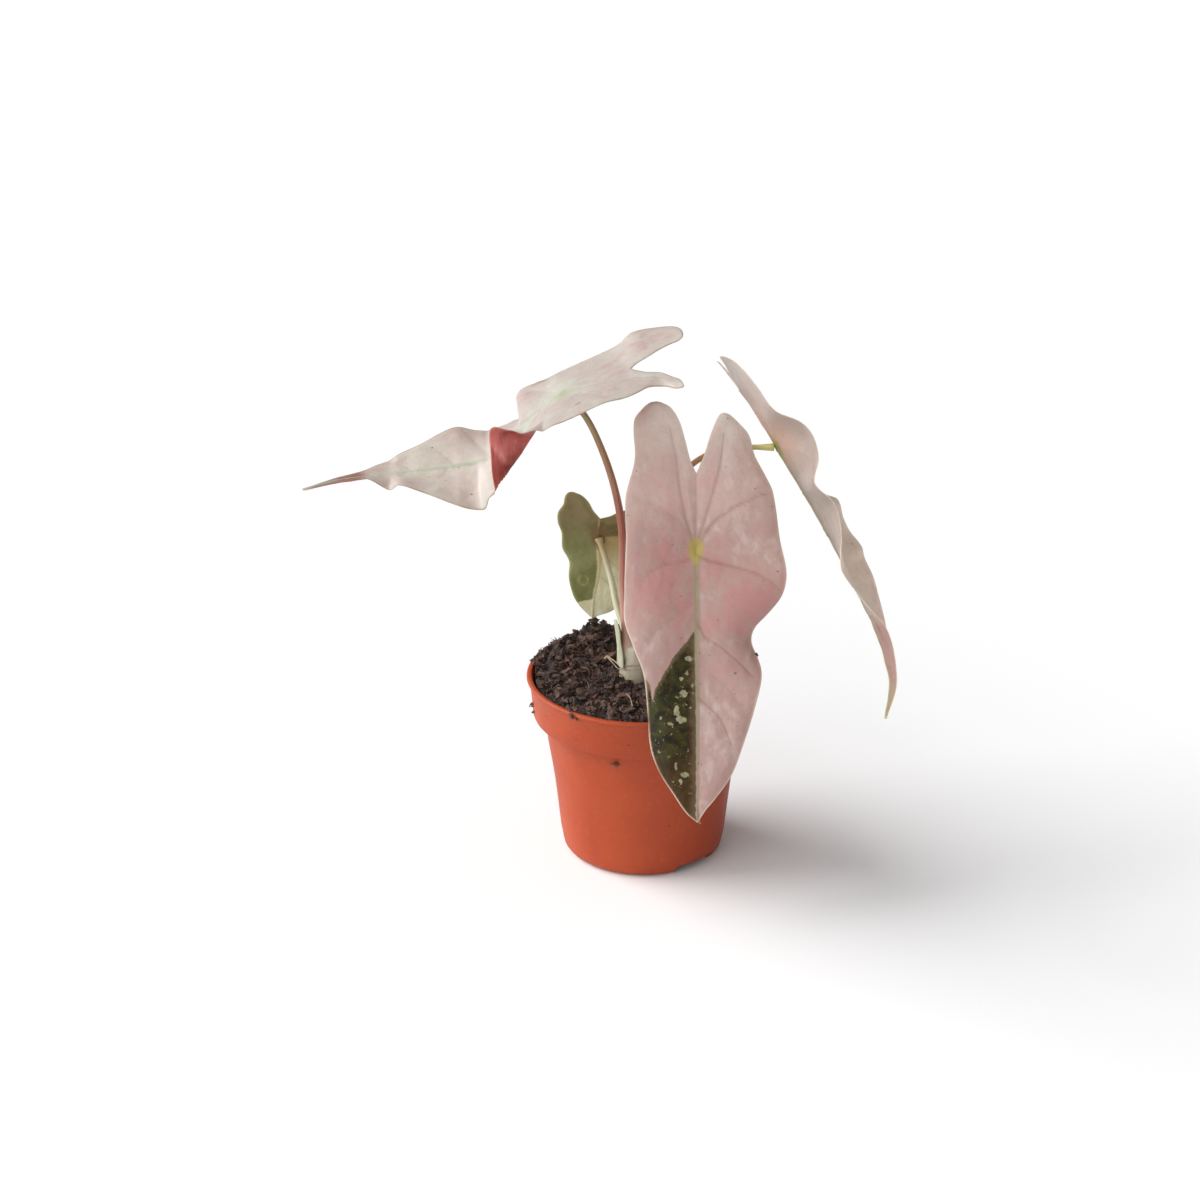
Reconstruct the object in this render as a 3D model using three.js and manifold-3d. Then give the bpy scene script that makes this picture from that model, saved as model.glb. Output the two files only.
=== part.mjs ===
// A young alocasia with pink, cream and green leaves, standing in a small plastic nursery pot.
// Millimetres, +Z up. The origin is the middle of the pot's underside, on the surface it stands on.
import * as THREE from 'three';
import { mergeVertices } from 'three/addons/utils/BufferGeometryUtils.js';
import Module from 'manifold-3d';

const wasm = await Module();
wasm.setup();

// Driving dimensions of the pot
const POT_HEIGHT = 52.8;
const RIM_RADIUS = 32.5;
const COLLAR_BOTTOM = 40.9;
const BASE_RADIUS = 20.7;
const WALL = 1.1;
const FLOOR = 1.2;
const NOTCH_HEIGHT = 2.5;
const NOTCH_INNER_RADIUS = 11;
const NOTCH_HALF_ANGLE = 17.5;
const NOTCH_DIRECTIONS = [-48, 132];
const DRAIN_RADIUS = 2.6;
const POT_SIDES = 56;

// Gap that neighbouring pieces keep, and the thickness of every blade
const GAP = 0.3;
const BLADE_THICKNESS = 0.7;

// Soil: its level, its heap and its bank against the wall at the back left, and how rough it is
const SOIL_LEVEL = 51.6;
const SOIL_HEAP = { x: -13.5, y: 25.5, height: 2.2, spread: 4.2 };
const SOIL_BANK = { direction: 134, spread: 42, height: 2.3, starts: 16, full: 27 };
const SOIL_ROUGHNESS = 0.8;
const SOIL_SIDES = 40;
const SOIL_RINGS = 10;

// Swollen foot of the plant: heights and radii of its outline, and where it stands
const STEM_AT = { x: -1.9, y: -1 };
const STEM_OUTLINE = [[43, 0], [43, 3.2], [46, 4.9], [50, 5.1], [54, 4.8], [58, 4.6], [61.5, 4.3], [63, 3.6], [63, 0]];
const STEM_HOLE_RADIUS = 5.5;

const COLOURS = {
  pot: 0xc4603f,
  soil: 0x34241e,
  stem: 0xc6bb98,
  sheath: 0xe6dfcb,
  redStalk: 0x9a6a5c,
  greenStalk: 0xb4b07c,
  paleStalk: 0xcfcfae,
  frontBlade: 0xc19c97,
  leftBlade: 0xd5cbc4,
  rightBlade: 0xcdbbaf,
  smallBlade: 0x9c9970,
};

const degrees = Math.PI / 180;

// Knots are [distance, value]. The curve through them keeps its slope from knot to knot.
function through(knots, at, column = 1) {
  const last = knots.length - 1;
  if (at <= knots[0][0]) return knots[0][column];
  if (at >= knots[last][0]) return knots[last][column];
  const slope = (i) => {
    const a = knots[Math.max(i - 1, 0)];
    const b = knots[Math.min(i + 1, last)];
    return (b[column] - a[column]) / (b[0] - a[0]);
  };
  let i = 0;
  while (knots[i + 1][0] <= at) i += 1;
  const span = knots[i + 1][0] - knots[i][0];
  const t = (at - knots[i][0]) / span;
  return (2 * t ** 3 - 3 * t ** 2 + 1) * knots[i][column]
    + (t ** 3 - 2 * t ** 2 + t) * span * slope(i)
    + (3 * t ** 2 - 2 * t ** 3) * knots[i + 1][column]
    + (t ** 3 - t ** 2) * span * slope(i + 1);
}

// The four blades. Distances run along the midrib in millimetres, 0 where the stalk joins it,
// negative back into the two lobes. midrib: distance, x, y, z. face: the way the upper side looks.
// outer and inner: how far the margin and the notch's edge lie from the midrib.
// lift: degrees that a half rises towards the upper side. curl: degrees more at its margin,
// gained about the fraction of its width given as crease, over the fraction given as softness.
const LEFT_BLADE = {
  face: [0, 0, 1],
  sinus: -20,
  tip: 79,
  midrib: [[-38, 12.5, 0, 150.2], [-20, -3.8, 0, 143.2], [0, -22.3, 0, 135.6], [7.3, -28, 0, 130.9],
    [16, -34.5, 0, 124.8], [22.8, -39.2, 0, 120.2], [28, -42.9, 0, 116.6], [37, -51.4, 0, 114.7],
    [51, -65.6, 0, 112.6], [69, -83, 0, 110.5], [79, -93, 0, 108]],
  left: {
    outer: [[-36, 8], [-35.7, 10.5], [-34.5, 13], [-33, 14.5], [-29, 16.5], [-22, 18], [-14, 18.3],
      [0, 18], [8, 19], [14, 19], [17, 18], [23, 16.5], [31, 15], [37, 14.5], [46, 10], [52, 7.5],
      [58, 4.5], [62, 2.5], [70, 1.2], [79, 0]],
    inner: [[-36, 8], [-35.7, 6.3], [-34.5, 5], [-32, 4.8], [-28.7, 4], [-25, 2.4], [-21.5, 1.2], [-20, 0]],
    lift: [[-38, 5], [-29, 8], [-22, 10], [-16, 3], [-3, 0], [4, 1], [8, 5], [14, 8], [16, -8],
      [20, -5], [23, -1], [27, 8], [31, 15], [37, 25], [52, 24], [55, 18], [62, 28], [79, 28]],
    curl: [[-36, 0], [79, 0]],
  },
  right: {
    outer: [[-33.6, 16.3], [-33, 16.9], [-31, 16], [-28, 13.4], [-24, 12.8], [-21, 14.4], [-17, 16],
      [-12, 16], [-5, 17.3], [7, 17.5], [11, 17], [14.5, 16], [18, 19.5], [20.5, 22], [22.5, 22],
      [24.3, 20.4], [25.8, 19.7], [28, 19.7], [29, 18.5], [31, 15.7], [37, 14.5], [46, 10], [52, 7.5],
      [58, 4.5], [62, 2.5], [70, 1.2], [79, 0]],
    inner: [[-33.6, 16.3], [-33, 13.5], [-31, 10.8], [-28, 7], [-24, 4.7], [-21, 1.6], [-20, 0]],
    lift: [[-38, -15], [-28, -15], [-24, -10], [-20, -7], [-13, -3], [0, -3], [4, 0], [7, 0],
      [11, -16], [14.5, -30], [18, -27], [20.5, -23], [22.5, -21], [24.3, -14], [25.8, -9], [28, -9],
      [29, -15], [31, -32], [37, -24], [46, -11], [52, -1], [55, -18], [62, 17], [79, 0]],
    curl: [[6, 0], [11, 48], [13, 78], [16, 112], [18, 132], [20.5, 152], [22.5, 160], [24.3, 151],
      [25.8, 118], [26.8, 0]],
    crease: [[16, 0.42], [20.5, 0.49], [22.5, 0.55], [24.3, 0.72], [25.8, 0.88], [26.8, 1]],
    softness: 0.24,
  },
};

const FRONT_BLADE = {
  face: [0, -0.93, 0.37],
  sinus: -20.5,
  tip: 73.5,
  midrib: [[-40, 13.9, -3.8, 135.6], [0, 13.7, -19, 98.4], [40, 14.2, -33.5, 61], [73.5, 14.2, -46.2, 30]],
  left: {
    outer: [[-39.6, 11.2], [-39.3, 12.8], [-38, 14.6], [-34.5, 17], [-24, 16.6], [-14, 19], [-3, 18.9],
      [11, 19.6], [19, 19.9], [26, 17.3], [33, 14.7], [44, 13.6], [53, 12.9], [59.5, 10.6], [66, 6.5],
      [71, 3], [73.5, 0]],
    inner: [[-39.6, 11.2], [-39.3, 9.5], [-38, 7], [-34.5, 4.7], [-30, 3.2], [-24, 1.6], [-20.5, 0]],
    lift: [[-40, -6], [-20, 4], [0, 8], [40, 10], [73, 12]],
    curl: [[-40, -20], [-20, -8], [0, -12], [20, -35], [33, -10], [50, -20], [73, 0]],
  },
  right: {
    outer: [[-36.7, 7.3], [-36.3, 8.8], [-34.5, 11], [-31, 14.2], [-25.3, 16], [-20, 18.9], [-15.4, 21],
      [-3.3, 22.5], [6, 24.4], [12.4, 23.2], [17.6, 20], [21.3, 16.9], [25, 15.8], [30, 17], [34, 17.4],
      [40, 16.2], [53.5, 12], [61, 9], [67, 4.8], [70, 2.3], [73.5, 0]],
    inner: [[-36.7, 7.3], [-36.3, 6.3], [-34.5, 5.2], [-31, 3.8], [-25.3, 2], [-20.5, 0]],
    lift: [[-40, -4], [-20, 4], [0, 8], [40, 10], [73, 12]],
    curl: [[-40, -15], [-15, -25], [6, 0], [23, -55], [38, -5], [55, -20], [73, 0]],
  },
};

const RIGHT_OUTLINE = {
  outer: [[-28.4, 8], [-27.8, 11], [-26, 13.5], [-22, 16], [-16, 18], [0, 20], [15, 18], [30, 15.5],
    [45, 13], [55, 10], [65, 6], [74, 2.5], [80, 0]],
  inner: [[-28.4, 8], [-27.8, 6.5], [-26, 4.8], [-23, 2.5], [-18, 0]],
  curl: [[-28, 0], [80, 0]],
};

const RIGHT_BLADE = {
  face: [0.87, 0.207, 0.455],
  sinus: -18,
  tip: 80,
  midrib: [[-28.4, 19.3, 9.7, 141.9], [-15.5, 27.2, 5.4, 132.6], [0, 35.6, 0, 120.7], [13.4, 42.6, -4.7, 110.4],
    [30, 50.9, -10.7, 97.2], [43.8, 57.1, -15.8, 86], [56.2, 62.6, -20.4, 75.9], [69, 66.4, -25.6, 64.6],
    [73, 66.7, -27.4, 60.6], [80, 65.3, -30.6, 53.5]],
  left: {
    ...RIGHT_OUTLINE,
    lift: [[-29, 6], [-25, 11], [-16, 10.5], [-8, 11], [-2, 23], [3, 26], [9, 21], [14, 8], [21, 15], [26, 12],
      [30, 6], [34, -3], [38, -9], [44, -6], [51, 1], [58, 14], [65, 20], [71, 21], [80, 25]],
  },
  right: {
    ...RIGHT_OUTLINE,
    lift: [[-29, 3], [-16, 8], [-8, 9], [-2, 18], [3, 22], [9, 18], [14, 14], [18, 18], [21, 27], [26, 24],
      [30, 24], [35, 29], [38, 27], [44, 28], [51, 24], [58, 20], [65, 18], [80, 20]],
  },
};

const SMALL_BLADE = {
  face: [0, 0.97, 0.22],
  sinus: -5.5,
  tip: 28,
  midrib: [[-13, -10.9, 16.9, 99.1], [0, -12.6, 18, 86.3], [10.4, -12.4, 20, 75.1], [19.4, -13.8, 22, 65.3],
    [28, -14.3, 23.5, 58.6]],
  left: {
    outer: [[-9, 8], [-8.5, 9.5], [-6, 10], [0, 9.5], [8, 9], [15, 8.6], [21.4, 7.2], [25, 5], [26.5, 2.3],
      [28, 0]],
    inner: [[-9, 8], [-8.6, 6], [-7.5, 4], [-6.5, 2.5], [-5.5, 0]],
    lift: [[-12, 5], [28, 5]],
    curl: [[-12, 0], [0, 15], [12, -10], [28, 0]],
  },
  right: {
    outer: [[-12.3, 8.6], [-12, 9.8], [-10.5, 10.7], [-8, 10.8], [-5.5, 11.9], [-3, 11.6], [0, 10.2],
      [4.3, 10.1], [9, 8.6], [14, 8.1], [18.5, 6.2], [23, 3.6], [25.7, 1.8], [28, 0]],
    inner: [[-12.3, 8.6], [-12, 6.6], [-10.2, 4.1], [-7.6, 2.2], [-5.5, 0]],
    lift: [[-12, 5], [28, 5]],
    curl: [[-12, 10], [0, -10], [8, 20], [16, -10], [28, 0]],
  },
};

// Stalks: points of the centre line from the foot to the blade, and radii at both ends
const STALKS = {
  left: {
    points: [[-3.7, -2.3, 59], [-4.6, -1.8, 66], [-5.6, -0.8, 78], [-5.9, 0, 94], [-7.6, 0, 106], [-11, 0, 118],
      [-16.2, 0, 129.6], [-21.8, 0, 134.7]],
    foot: 1.4,
    top: 0.8,
  },
  front: {
    points: [[-0.3, -2.8, 59], [1, -3, 68], [4.5, -3, 84], [9.5, -4.5, 97], [12.5, -8.2, 103],
      [13.6, -12.7, 102.8], [13.7, -17.1, 99.7]],
    foot: 1.2,
    top: 0.8,
  },
  right: {
    points: [[-0.6, 0.6, 59], [0.6, 1.4, 72], [3, 1.6, 92], [9, 1.2, 110], [15.8, 0.6, 117.2], [25, 0.2, 120],
      [34.7, -0.2, 120.3]],
    foot: 1.2,
    top: 0.7,
  },
  small: {
    points: [[-3.5, 0.8, 59], [-5, 2.8, 63.5], [-7.5, 7.5, 70], [-9, 12, 76], [-11, 15.4, 82], [-12.4, 16.8, 85.6]],
    foot: 0.9,
    top: 0.7,
  },
};

function position(x, y, z) {
  return new THREE.Vector3(x, y, z);
}

function material(colour, roughness) {
  return new THREE.MeshStandardMaterial({ color: colour, roughness, metalness: 0 });
}

function mesh(name, geometry, colour, roughness = 0.6) {
  const made = new THREE.Mesh(geometry, material(colour, roughness));
  made.name = name;
  return made;
}

function solid(geometry) {
  const bare = geometry.clone();
  bare.deleteAttribute('normal');
  bare.deleteAttribute('uv');
  const merged = mergeVertices(bare, 1e-4);
  return new wasm.Manifold(new wasm.Mesh({
    numProp: 3,
    vertProperties: new Float32Array(merged.attributes.position.array),
    triVerts: new Uint32Array(merged.index.array),
  }));
}

function geometryOf(manifold) {
  const made = manifold.getMesh();
  const geometry = new THREE.BufferGeometry();
  geometry.setAttribute('position', new THREE.BufferAttribute(made.vertProperties, 3));
  geometry.setIndex(new THREE.BufferAttribute(made.triVerts, 1));
  return geometry;
}

function geometryFrom(vertices, triangles) {
  const geometry = new THREE.BufferGeometry();
  const flat = vertices.flatMap((v) => [v.x, v.y, v.z]);
  geometry.setAttribute('position', new THREE.Float32BufferAttribute(flat, 3));
  geometry.setIndex(triangles.flat());
  return geometry;
}

// A solid of revolution about Z from an outline of [height, radius]
function turned(outline, sides) {
  const points = outline.map(([height, radius]) => new THREE.Vector2(radius, height));
  return new THREE.LatheGeometry(points, sides).rotateX(Math.PI / 2);
}

// A thin sheet becomes a solid: both faces have the same triangles, and its open edge is walled
function thickened(vertices, triangles, thickness) {
  const normals = vertices.map(() => position(0, 0, 0));
  for (const [a, b, c] of triangles) {
    const ab = vertices[b].clone().sub(vertices[a]);
    const ac = vertices[c].clone().sub(vertices[a]);
    const across = ab.cross(ac);
    for (const i of [a, b, c]) normals[i].add(across);
  }
  const count = vertices.length;
  const moved = (sign) => vertices.map((v, i) => v.clone().addScaledVector(
    normals[i].clone().normalize(), (sign * thickness) / 2));
  const faces = [];
  const edges = new Map();
  for (const [a, b, c] of triangles) {
    faces.push([a, b, c], [a + count, c + count, b + count]);
    for (const [from, to] of [[a, b], [b, c], [c, a]]) {
      if (!edges.delete(`${to},${from}`)) edges.set(`${from},${to}`, [from, to]);
    }
  }
  for (const [from, to] of edges.values()) {
    faces.push([from, from + count, to], [to, from + count, to + count]);
  }
  return geometryFrom([...moved(1), ...moved(-1)], faces);
}

// Collects the points of a sheet, so that points at one place are one vertex
function sheetMaker() {
  const vertices = [];
  const triangles = [];
  const known = new Map();
  const vertex = (point) => {
    const key = [point.x, point.y, point.z].map((value) => value.toFixed(3)).join();
    if (!known.has(key)) {
      known.set(key, vertices.length);
      vertices.push(point);
    }
    return known.get(key);
  };
  const grid = (rows, flipped) => {
    const index = rows.map((row) => row.map(vertex));
    for (let i = 0; i + 1 < rows.length; i += 1) {
      for (let j = 0; j + 1 < rows[i].length; j += 1) {
        const [a, b, c, d] = [index[i][j], index[i + 1][j], index[i + 1][j + 1], index[i][j + 1]];
        for (const triangle of [[a, b, c], [a, c, d]]) {
          if (new Set(triangle).size === 3) triangles.push(flipped ? triangle.toReversed() : triangle);
        }
      }
    }
  };
  return { vertices, triangles, grid };
}

// A point of one half blade: side -1 or 1, along the midrib, across from 0 at its inner edge to 1
function bladePoint(blade, side, along, across) {
  const half = side < 0 ? blade.left : blade.right;
  const width = through(half.outer, along);
  const inner = along < blade.sinus ? through(half.inner, along) : 0;
  const reach = inner + (width - inner) * across;
  const spine = (at) => position(through(blade.midrib, at, 1), through(blade.midrib, at, 2),
    through(blade.midrib, at, 3));
  const run = spine(Math.min(along + 0.5, blade.tip)).sub(spine(Math.max(along - 0.5, blade.midrib[0][0])));
  const rightward = position(...blade.face).cross(run).normalize();
  const upward = run.clone().cross(rightward).normalize();
  const lift = through(half.lift, along) * degrees;
  const curl = through(half.curl, along) * degrees;
  const crease = through(half.crease ?? [[0, 0.65]], along);
  const softness = half.softness ?? 0.7;
  const steps = 12;
  const point = spine(along);
  for (let k = 0; k < steps; k += 1) {
    const part = (((k + 0.5) / steps) * reach) / Math.max(width, 1e-6);
    const turned = THREE.MathUtils.smoothstep(part, crease - softness / 2, crease + softness / 2);
    const angle = lift + curl * turned;
    point.addScaledVector(rightward, (side * Math.cos(angle) * reach) / steps);
    point.addScaledVector(upward, (Math.sin(angle) * reach) / steps);
  }
  return point;
}

// Distances of the rows: close together at both ends of a stretch, where the outline turns
function rowsBetween(start, end, count, crowded) {
  return Array.from({ length: count + 1 }, (_, i) => {
    const t = i / count;
    const eased = crowded === 'start' ? t ** 1.6 : 1 - (1 - t) ** 1.3;
    return start + (end - start) * eased;
  });
}

function bladeGeometry(blade, { lobeRows, bodyRows, columns }) {
  const sheet = sheetMaker();
  for (const side of [-1, 1]) {
    const half = side < 0 ? blade.left : blade.right;
    const stretches = [
      rowsBetween(half.outer[0][0], blade.sinus, lobeRows, 'start'),
      rowsBetween(blade.sinus, blade.tip, bodyRows, 'end'),
    ];
    for (const distances of stretches) {
      const rows = distances.map((along) => Array.from({ length: columns + 1 },
        (_, j) => bladePoint(blade, side, along, j / columns)));
      sheet.grid(rows, side > 0);
    }
  }
  return thickened(sheet.vertices, sheet.triangles, BLADE_THICKNESS);
}

// A stalk is a closed tube that narrows evenly from its foot to its top
function stalkGeometry({ points, foot, top }, { steps, sides, extra = 0 }) {
  const curve = new THREE.CatmullRomCurve3(points.map((p) => position(...p)), false, 'centripetal');
  const frames = curve.computeFrenetFrames(steps, false);
  const vertices = [];
  const triangles = [];
  for (let i = 0; i <= steps; i += 1) {
    const t = i / steps;
    const centre = curve.getPointAt(t);
    const radius = THREE.MathUtils.lerp(foot, top, t) + extra;
    for (let j = 0; j < sides; j += 1) {
      const turn = (j / sides) * 2 * Math.PI;
      vertices.push(centre.clone()
        .addScaledVector(frames.normals[i], radius * Math.cos(turn))
        .addScaledVector(frames.binormals[i], radius * Math.sin(turn)));
    }
  }
  const start = vertices.push(curve.getPointAt(0)) - 1;
  const end = vertices.push(curve.getPointAt(1)) - 1;
  for (let j = 0; j < sides; j += 1) {
    const next = (j + 1) % sides;
    for (let i = 0; i < steps; i += 1) {
      const [a, b] = [i * sides + j, i * sides + next];
      triangles.push([a, b, a + sides], [b, b + sides, a + sides]);
    }
    triangles.push([start, next, j], [end, steps * sides + j, steps * sides + next]);
  }
  return geometryFrom(vertices, triangles);
}

// A wedge about Z between two radii and two heights, centred on a direction in degrees
function wedge(direction, halfAngle, inner, outer, low, high) {
  const arc = (radius, from, to) => Array.from({ length: 7 }, (_, i) => {
    const angle = (direction + from + ((to - from) * i) / 6) * degrees;
    return new THREE.Vector2(radius * Math.cos(angle), radius * Math.sin(angle));
  });
  const shape = new THREE.Shape([...arc(outer, -halfAngle, halfAngle), ...arc(inner, halfAngle, -halfAngle)]);
  return new THREE.ExtrudeGeometry(shape, { depth: high - low, bevelEnabled: false }).translate(0, 0, low);
}

const POT_OUTSIDE = [[0, BASE_RADIUS], [1.6, BASE_RADIUS + 1.5], [6.7, 23.1], [21, 24.7], [33, 26.6],
  [COLLAR_BOTTOM, 27.7], [COLLAR_BOTTOM, 30.3], [41.4, 30.7], [51.6, 31.7], [51.9, RIM_RADIUS - 0.1],
  [52.4, RIM_RADIUS], [POT_HEIGHT, RIM_RADIUS - 0.4]];
const POT_INSIDE = [[POT_HEIGHT, RIM_RADIUS - 1.4], [51.6, 31.7 - WALL], [COLLAR_BOTTOM + WALL, 30.7 - WALL],
  [COLLAR_BOTTOM + WALL - 0.3, 27.7 - WALL + 0.4], [33, 26.6 - WALL], [21, 24.7 - WALL],
  [6.7, 23.1 - WALL], [2.6, BASE_RADIUS + 1.5 - WALL], [FLOOR, BASE_RADIUS - 0.6]];

function notchHousings(extra) {
  const top = NOTCH_HEIGHT + FLOOR + extra;
  const halfAngle = NOTCH_HALF_ANGLE + 4 + extra / NOTCH_INNER_RADIUS / degrees;
  return NOTCH_DIRECTIONS.map((direction) => solid(wedge(direction, halfAngle,
    NOTCH_INNER_RADIUS - FLOOR - extra, RIM_RADIUS, 0, top)));
}

function pot() {
  const full = solid(turned([[0, 0], ...POT_OUTSIDE, [POT_HEIGHT, 0]], POT_SIDES));
  let body = solid(turned([[0, 0], ...POT_OUTSIDE, ...POT_INSIDE, [FLOOR, 0]], POT_SIDES));
  for (const housing of notchHousings(0)) body = body.add(housing.intersect(full));
  for (const direction of NOTCH_DIRECTIONS) {
    const notch = wedge(direction, NOTCH_HALF_ANGLE, NOTCH_INNER_RADIUS, RIM_RADIUS + 5, -2, NOTCH_HEIGHT);
    const drain = new THREE.CylinderGeometry(DRAIN_RADIUS, DRAIN_RADIUS, 6, 20).rotateX(Math.PI / 2);
    const out = (NOTCH_INNER_RADIUS + BASE_RADIUS) / 2;
    drain.translate(out * Math.cos(direction * degrees), out * Math.sin(direction * degrees), NOTCH_HEIGHT);
    body = body.subtract(solid(notch)).subtract(solid(drain));
  }
  return mesh('pot', geometryOf(body), COLOURS.pot, 0.5);
}

// Height of the soil: its level, its heap, its bank, and waves that cross as clods do
function soilHeight(x, y) {
  const heapAway = Math.hypot(x - SOIL_HEAP.x, y - SOIL_HEAP.y) / SOIL_HEAP.spread;
  const heap = SOIL_HEAP.height * Math.exp(-heapAway * heapAway);
  const turn = (Math.atan2(y, x) / degrees - SOIL_BANK.direction + 540) % 360;
  const bankAway = (turn - 180) / SOIL_BANK.spread;
  const rise = THREE.MathUtils.smoothstep(Math.hypot(x, y), SOIL_BANK.starts, SOIL_BANK.full);
  const bank = SOIL_BANK.height * rise * Math.exp(-bankAway * bankAway);
  const clods = Math.sin(x * 0.9 + 1.3 * Math.sin(y * 0.55)) * Math.cos(y * 0.8 + 1.1 * Math.sin(x * 0.6))
    + 0.5 * Math.sin(x * 1.9 + y * 1.3) * Math.cos(y * 2.1 - x * 0.7);
  return SOIL_LEVEL + heap + bank + SOIL_ROUGHNESS * clods;
}

function soil() {
  const wall = [[FLOOR + GAP, 0], [FLOOR + GAP, BASE_RADIUS - 1.1], [2.9, BASE_RADIUS + 0.1], [6.9, 21.6], [21, 23.2],
    [33, 25.1], [42, 26.5], [42.4, 29.2], [49.5, 30]];
  const sheet = sheetMaker();
  const ring = (radius, height) => Array.from({ length: SOIL_SIDES + 1 }, (_, j) => {
    const angle = ((j % SOIL_SIDES) / SOIL_SIDES) * 2 * Math.PI;
    const [x, y] = [radius * Math.cos(angle), radius * Math.sin(angle)];
    return position(x, y, height ?? soilHeight(x, y));
  });
  const rows = wall.map(([height, radius]) => ring(radius, height));
  for (let i = SOIL_RINGS; i >= 0; i -= 1) rows.push(ring((30.1 * i) / SOIL_RINGS));
  sheet.grid(rows, true);
  let body = solid(geometryFrom(sheet.vertices, sheet.triangles));
  for (const housing of notchHousings(GAP)) body = body.subtract(housing);
  const hole = new THREE.CylinderGeometry(STEM_HOLE_RADIUS, STEM_HOLE_RADIUS, 20, 24).rotateX(Math.PI / 2);
  hole.translate(STEM_AT.x, STEM_AT.y, STEM_OUTLINE[0][0] - GAP + 10);
  return mesh('soil', geometryOf(body.subtract(solid(hole))), COLOURS.soil, 0.95);
}

// The foot stands in its hole in the soil, and the stalks stand in plain holes in the foot
function stemBase() {
  let body = solid(turned(STEM_OUTLINE, 24).translate(STEM_AT.x, STEM_AT.y, 0));
  for (const stalk of Object.values(STALKS)) {
    const socket = stalkGeometry(stalk, { steps: 10, sides: 8, extra: GAP });
    const below = position(...stalk.points[0]);
    const foot = new THREE.SphereGeometry(stalk.foot + GAP, 8, 6).translate(below.x, below.y, below.z);
    body = body.subtract(solid(socket)).subtract(solid(foot));
  }
  return mesh('stem_base', geometryOf(body), COLOURS.stem, 0.55);
}

// A papery scale that hugs the left of the foot, rises to a point and leans away from the foot
function stemSheath() {
  const sheet = sheetMaker();
  const [low, high, rows, columns] = [55.5, 70.5, 10, 6];
  const points = Array.from({ length: rows + 1 }, (_, i) => {
    const t = i / rows;
    const height = low + (high - low) * t;
    const radius = 5.4 + 1.5 * t ** 2;
    const spread = 38 * Math.sqrt(Math.max(1 - t ** 2, 0));
    return Array.from({ length: columns + 1 }, (_, j) => {
      const angle = (192 + spread * ((2 * j) / columns - 1)) * degrees;
      return position(STEM_AT.x + radius * Math.cos(angle), STEM_AT.y + radius * Math.sin(angle), height);
    });
  });
  sheet.grid(points, true);
  return mesh('stem_sheath', thickened(sheet.vertices, sheet.triangles, 0.6), COLOURS.sheath, 0.7);
}

const plant = new THREE.Group();
plant.add(pot(), soil(), stemBase(), stemSheath());

const BIG = { lobeRows: 6, bodyRows: 26, columns: 4 };
const SMALL = { lobeRows: 5, bodyRows: 12, columns: 4 };
plant.add(
  mesh('blade_left', bladeGeometry(LEFT_BLADE, { ...BIG, bodyRows: 38, columns: 7 }), COLOURS.leftBlade),
  mesh('blade_front', bladeGeometry(FRONT_BLADE, BIG), COLOURS.frontBlade),
  mesh('blade_right', bladeGeometry(RIGHT_BLADE, BIG), COLOURS.rightBlade),
  mesh('blade_small', bladeGeometry(SMALL_BLADE, SMALL), COLOURS.smallBlade),
);

const STALK_COLOURS = {
  left: COLOURS.redStalk,
  front: COLOURS.redStalk,
  right: COLOURS.greenStalk,
  small: COLOURS.paleStalk,
};
for (const [name, stalk] of Object.entries(STALKS)) {
  plant.add(mesh(`petiole_${name}`, stalkGeometry(stalk, { steps: 18, sides: 8 }), STALK_COLOURS[name]));
}

export default plant;
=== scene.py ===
import math
import random

import bmesh
import bpy
import numpy as np
from mathutils import Matrix, Vector, noise


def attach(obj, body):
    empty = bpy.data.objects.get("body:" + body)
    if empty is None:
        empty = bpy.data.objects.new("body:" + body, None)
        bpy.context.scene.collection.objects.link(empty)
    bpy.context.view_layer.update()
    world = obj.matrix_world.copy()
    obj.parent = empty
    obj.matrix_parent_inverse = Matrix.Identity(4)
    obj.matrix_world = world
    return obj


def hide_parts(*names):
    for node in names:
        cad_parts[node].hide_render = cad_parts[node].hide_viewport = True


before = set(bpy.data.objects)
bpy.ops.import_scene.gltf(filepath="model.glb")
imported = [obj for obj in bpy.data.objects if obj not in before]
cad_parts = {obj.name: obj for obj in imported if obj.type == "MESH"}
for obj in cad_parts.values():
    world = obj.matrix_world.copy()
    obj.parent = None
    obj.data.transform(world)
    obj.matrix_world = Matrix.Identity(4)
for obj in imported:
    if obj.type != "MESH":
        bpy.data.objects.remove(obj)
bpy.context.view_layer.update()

# A young alocasia with pink, cream and green leaves in a small plastic pot.
# Sizes are millimetres here and become metres when a mesh is made.
MM = 0.001


def srgb(*channels):
    """A colour as read on a screen, 0 to 255, as linear light."""
    return tuple(((c / 255 + 0.055) / 1.055) ** 2.4 for c in channels) + (1.0,)


def smooth(value, low, high):
    t = np.clip((np.asarray(value, float) - low) / (high - low), 0, 1)
    return t * t * (3 - 2 * t)


def through(knots, at, column=1):
    """A smooth curve through knots of [distance, value], the same as in the solids."""
    last = len(knots) - 1
    if at <= knots[0][0]:
        return knots[0][column]
    if at >= knots[last][0]:
        return knots[last][column]

    def slope(i):
        a, b = knots[max(i - 1, 0)], knots[min(i + 1, last)]
        return (b[column] - a[column]) / (b[0] - a[0])

    i = 0
    while knots[i + 1][0] <= at:
        i += 1
    span = knots[i + 1][0] - knots[i][0]
    t = (at - knots[i][0]) / span
    return ((2 * t ** 3 - 3 * t ** 2 + 1) * knots[i][column]
            + (t ** 3 - 2 * t ** 2 + t) * span * slope(i)
            + (3 * t ** 2 - 2 * t ** 3) * knots[i + 1][column]
            + (t ** 3 - t ** 2) * span * slope(i + 1))


# Node materials

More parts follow.
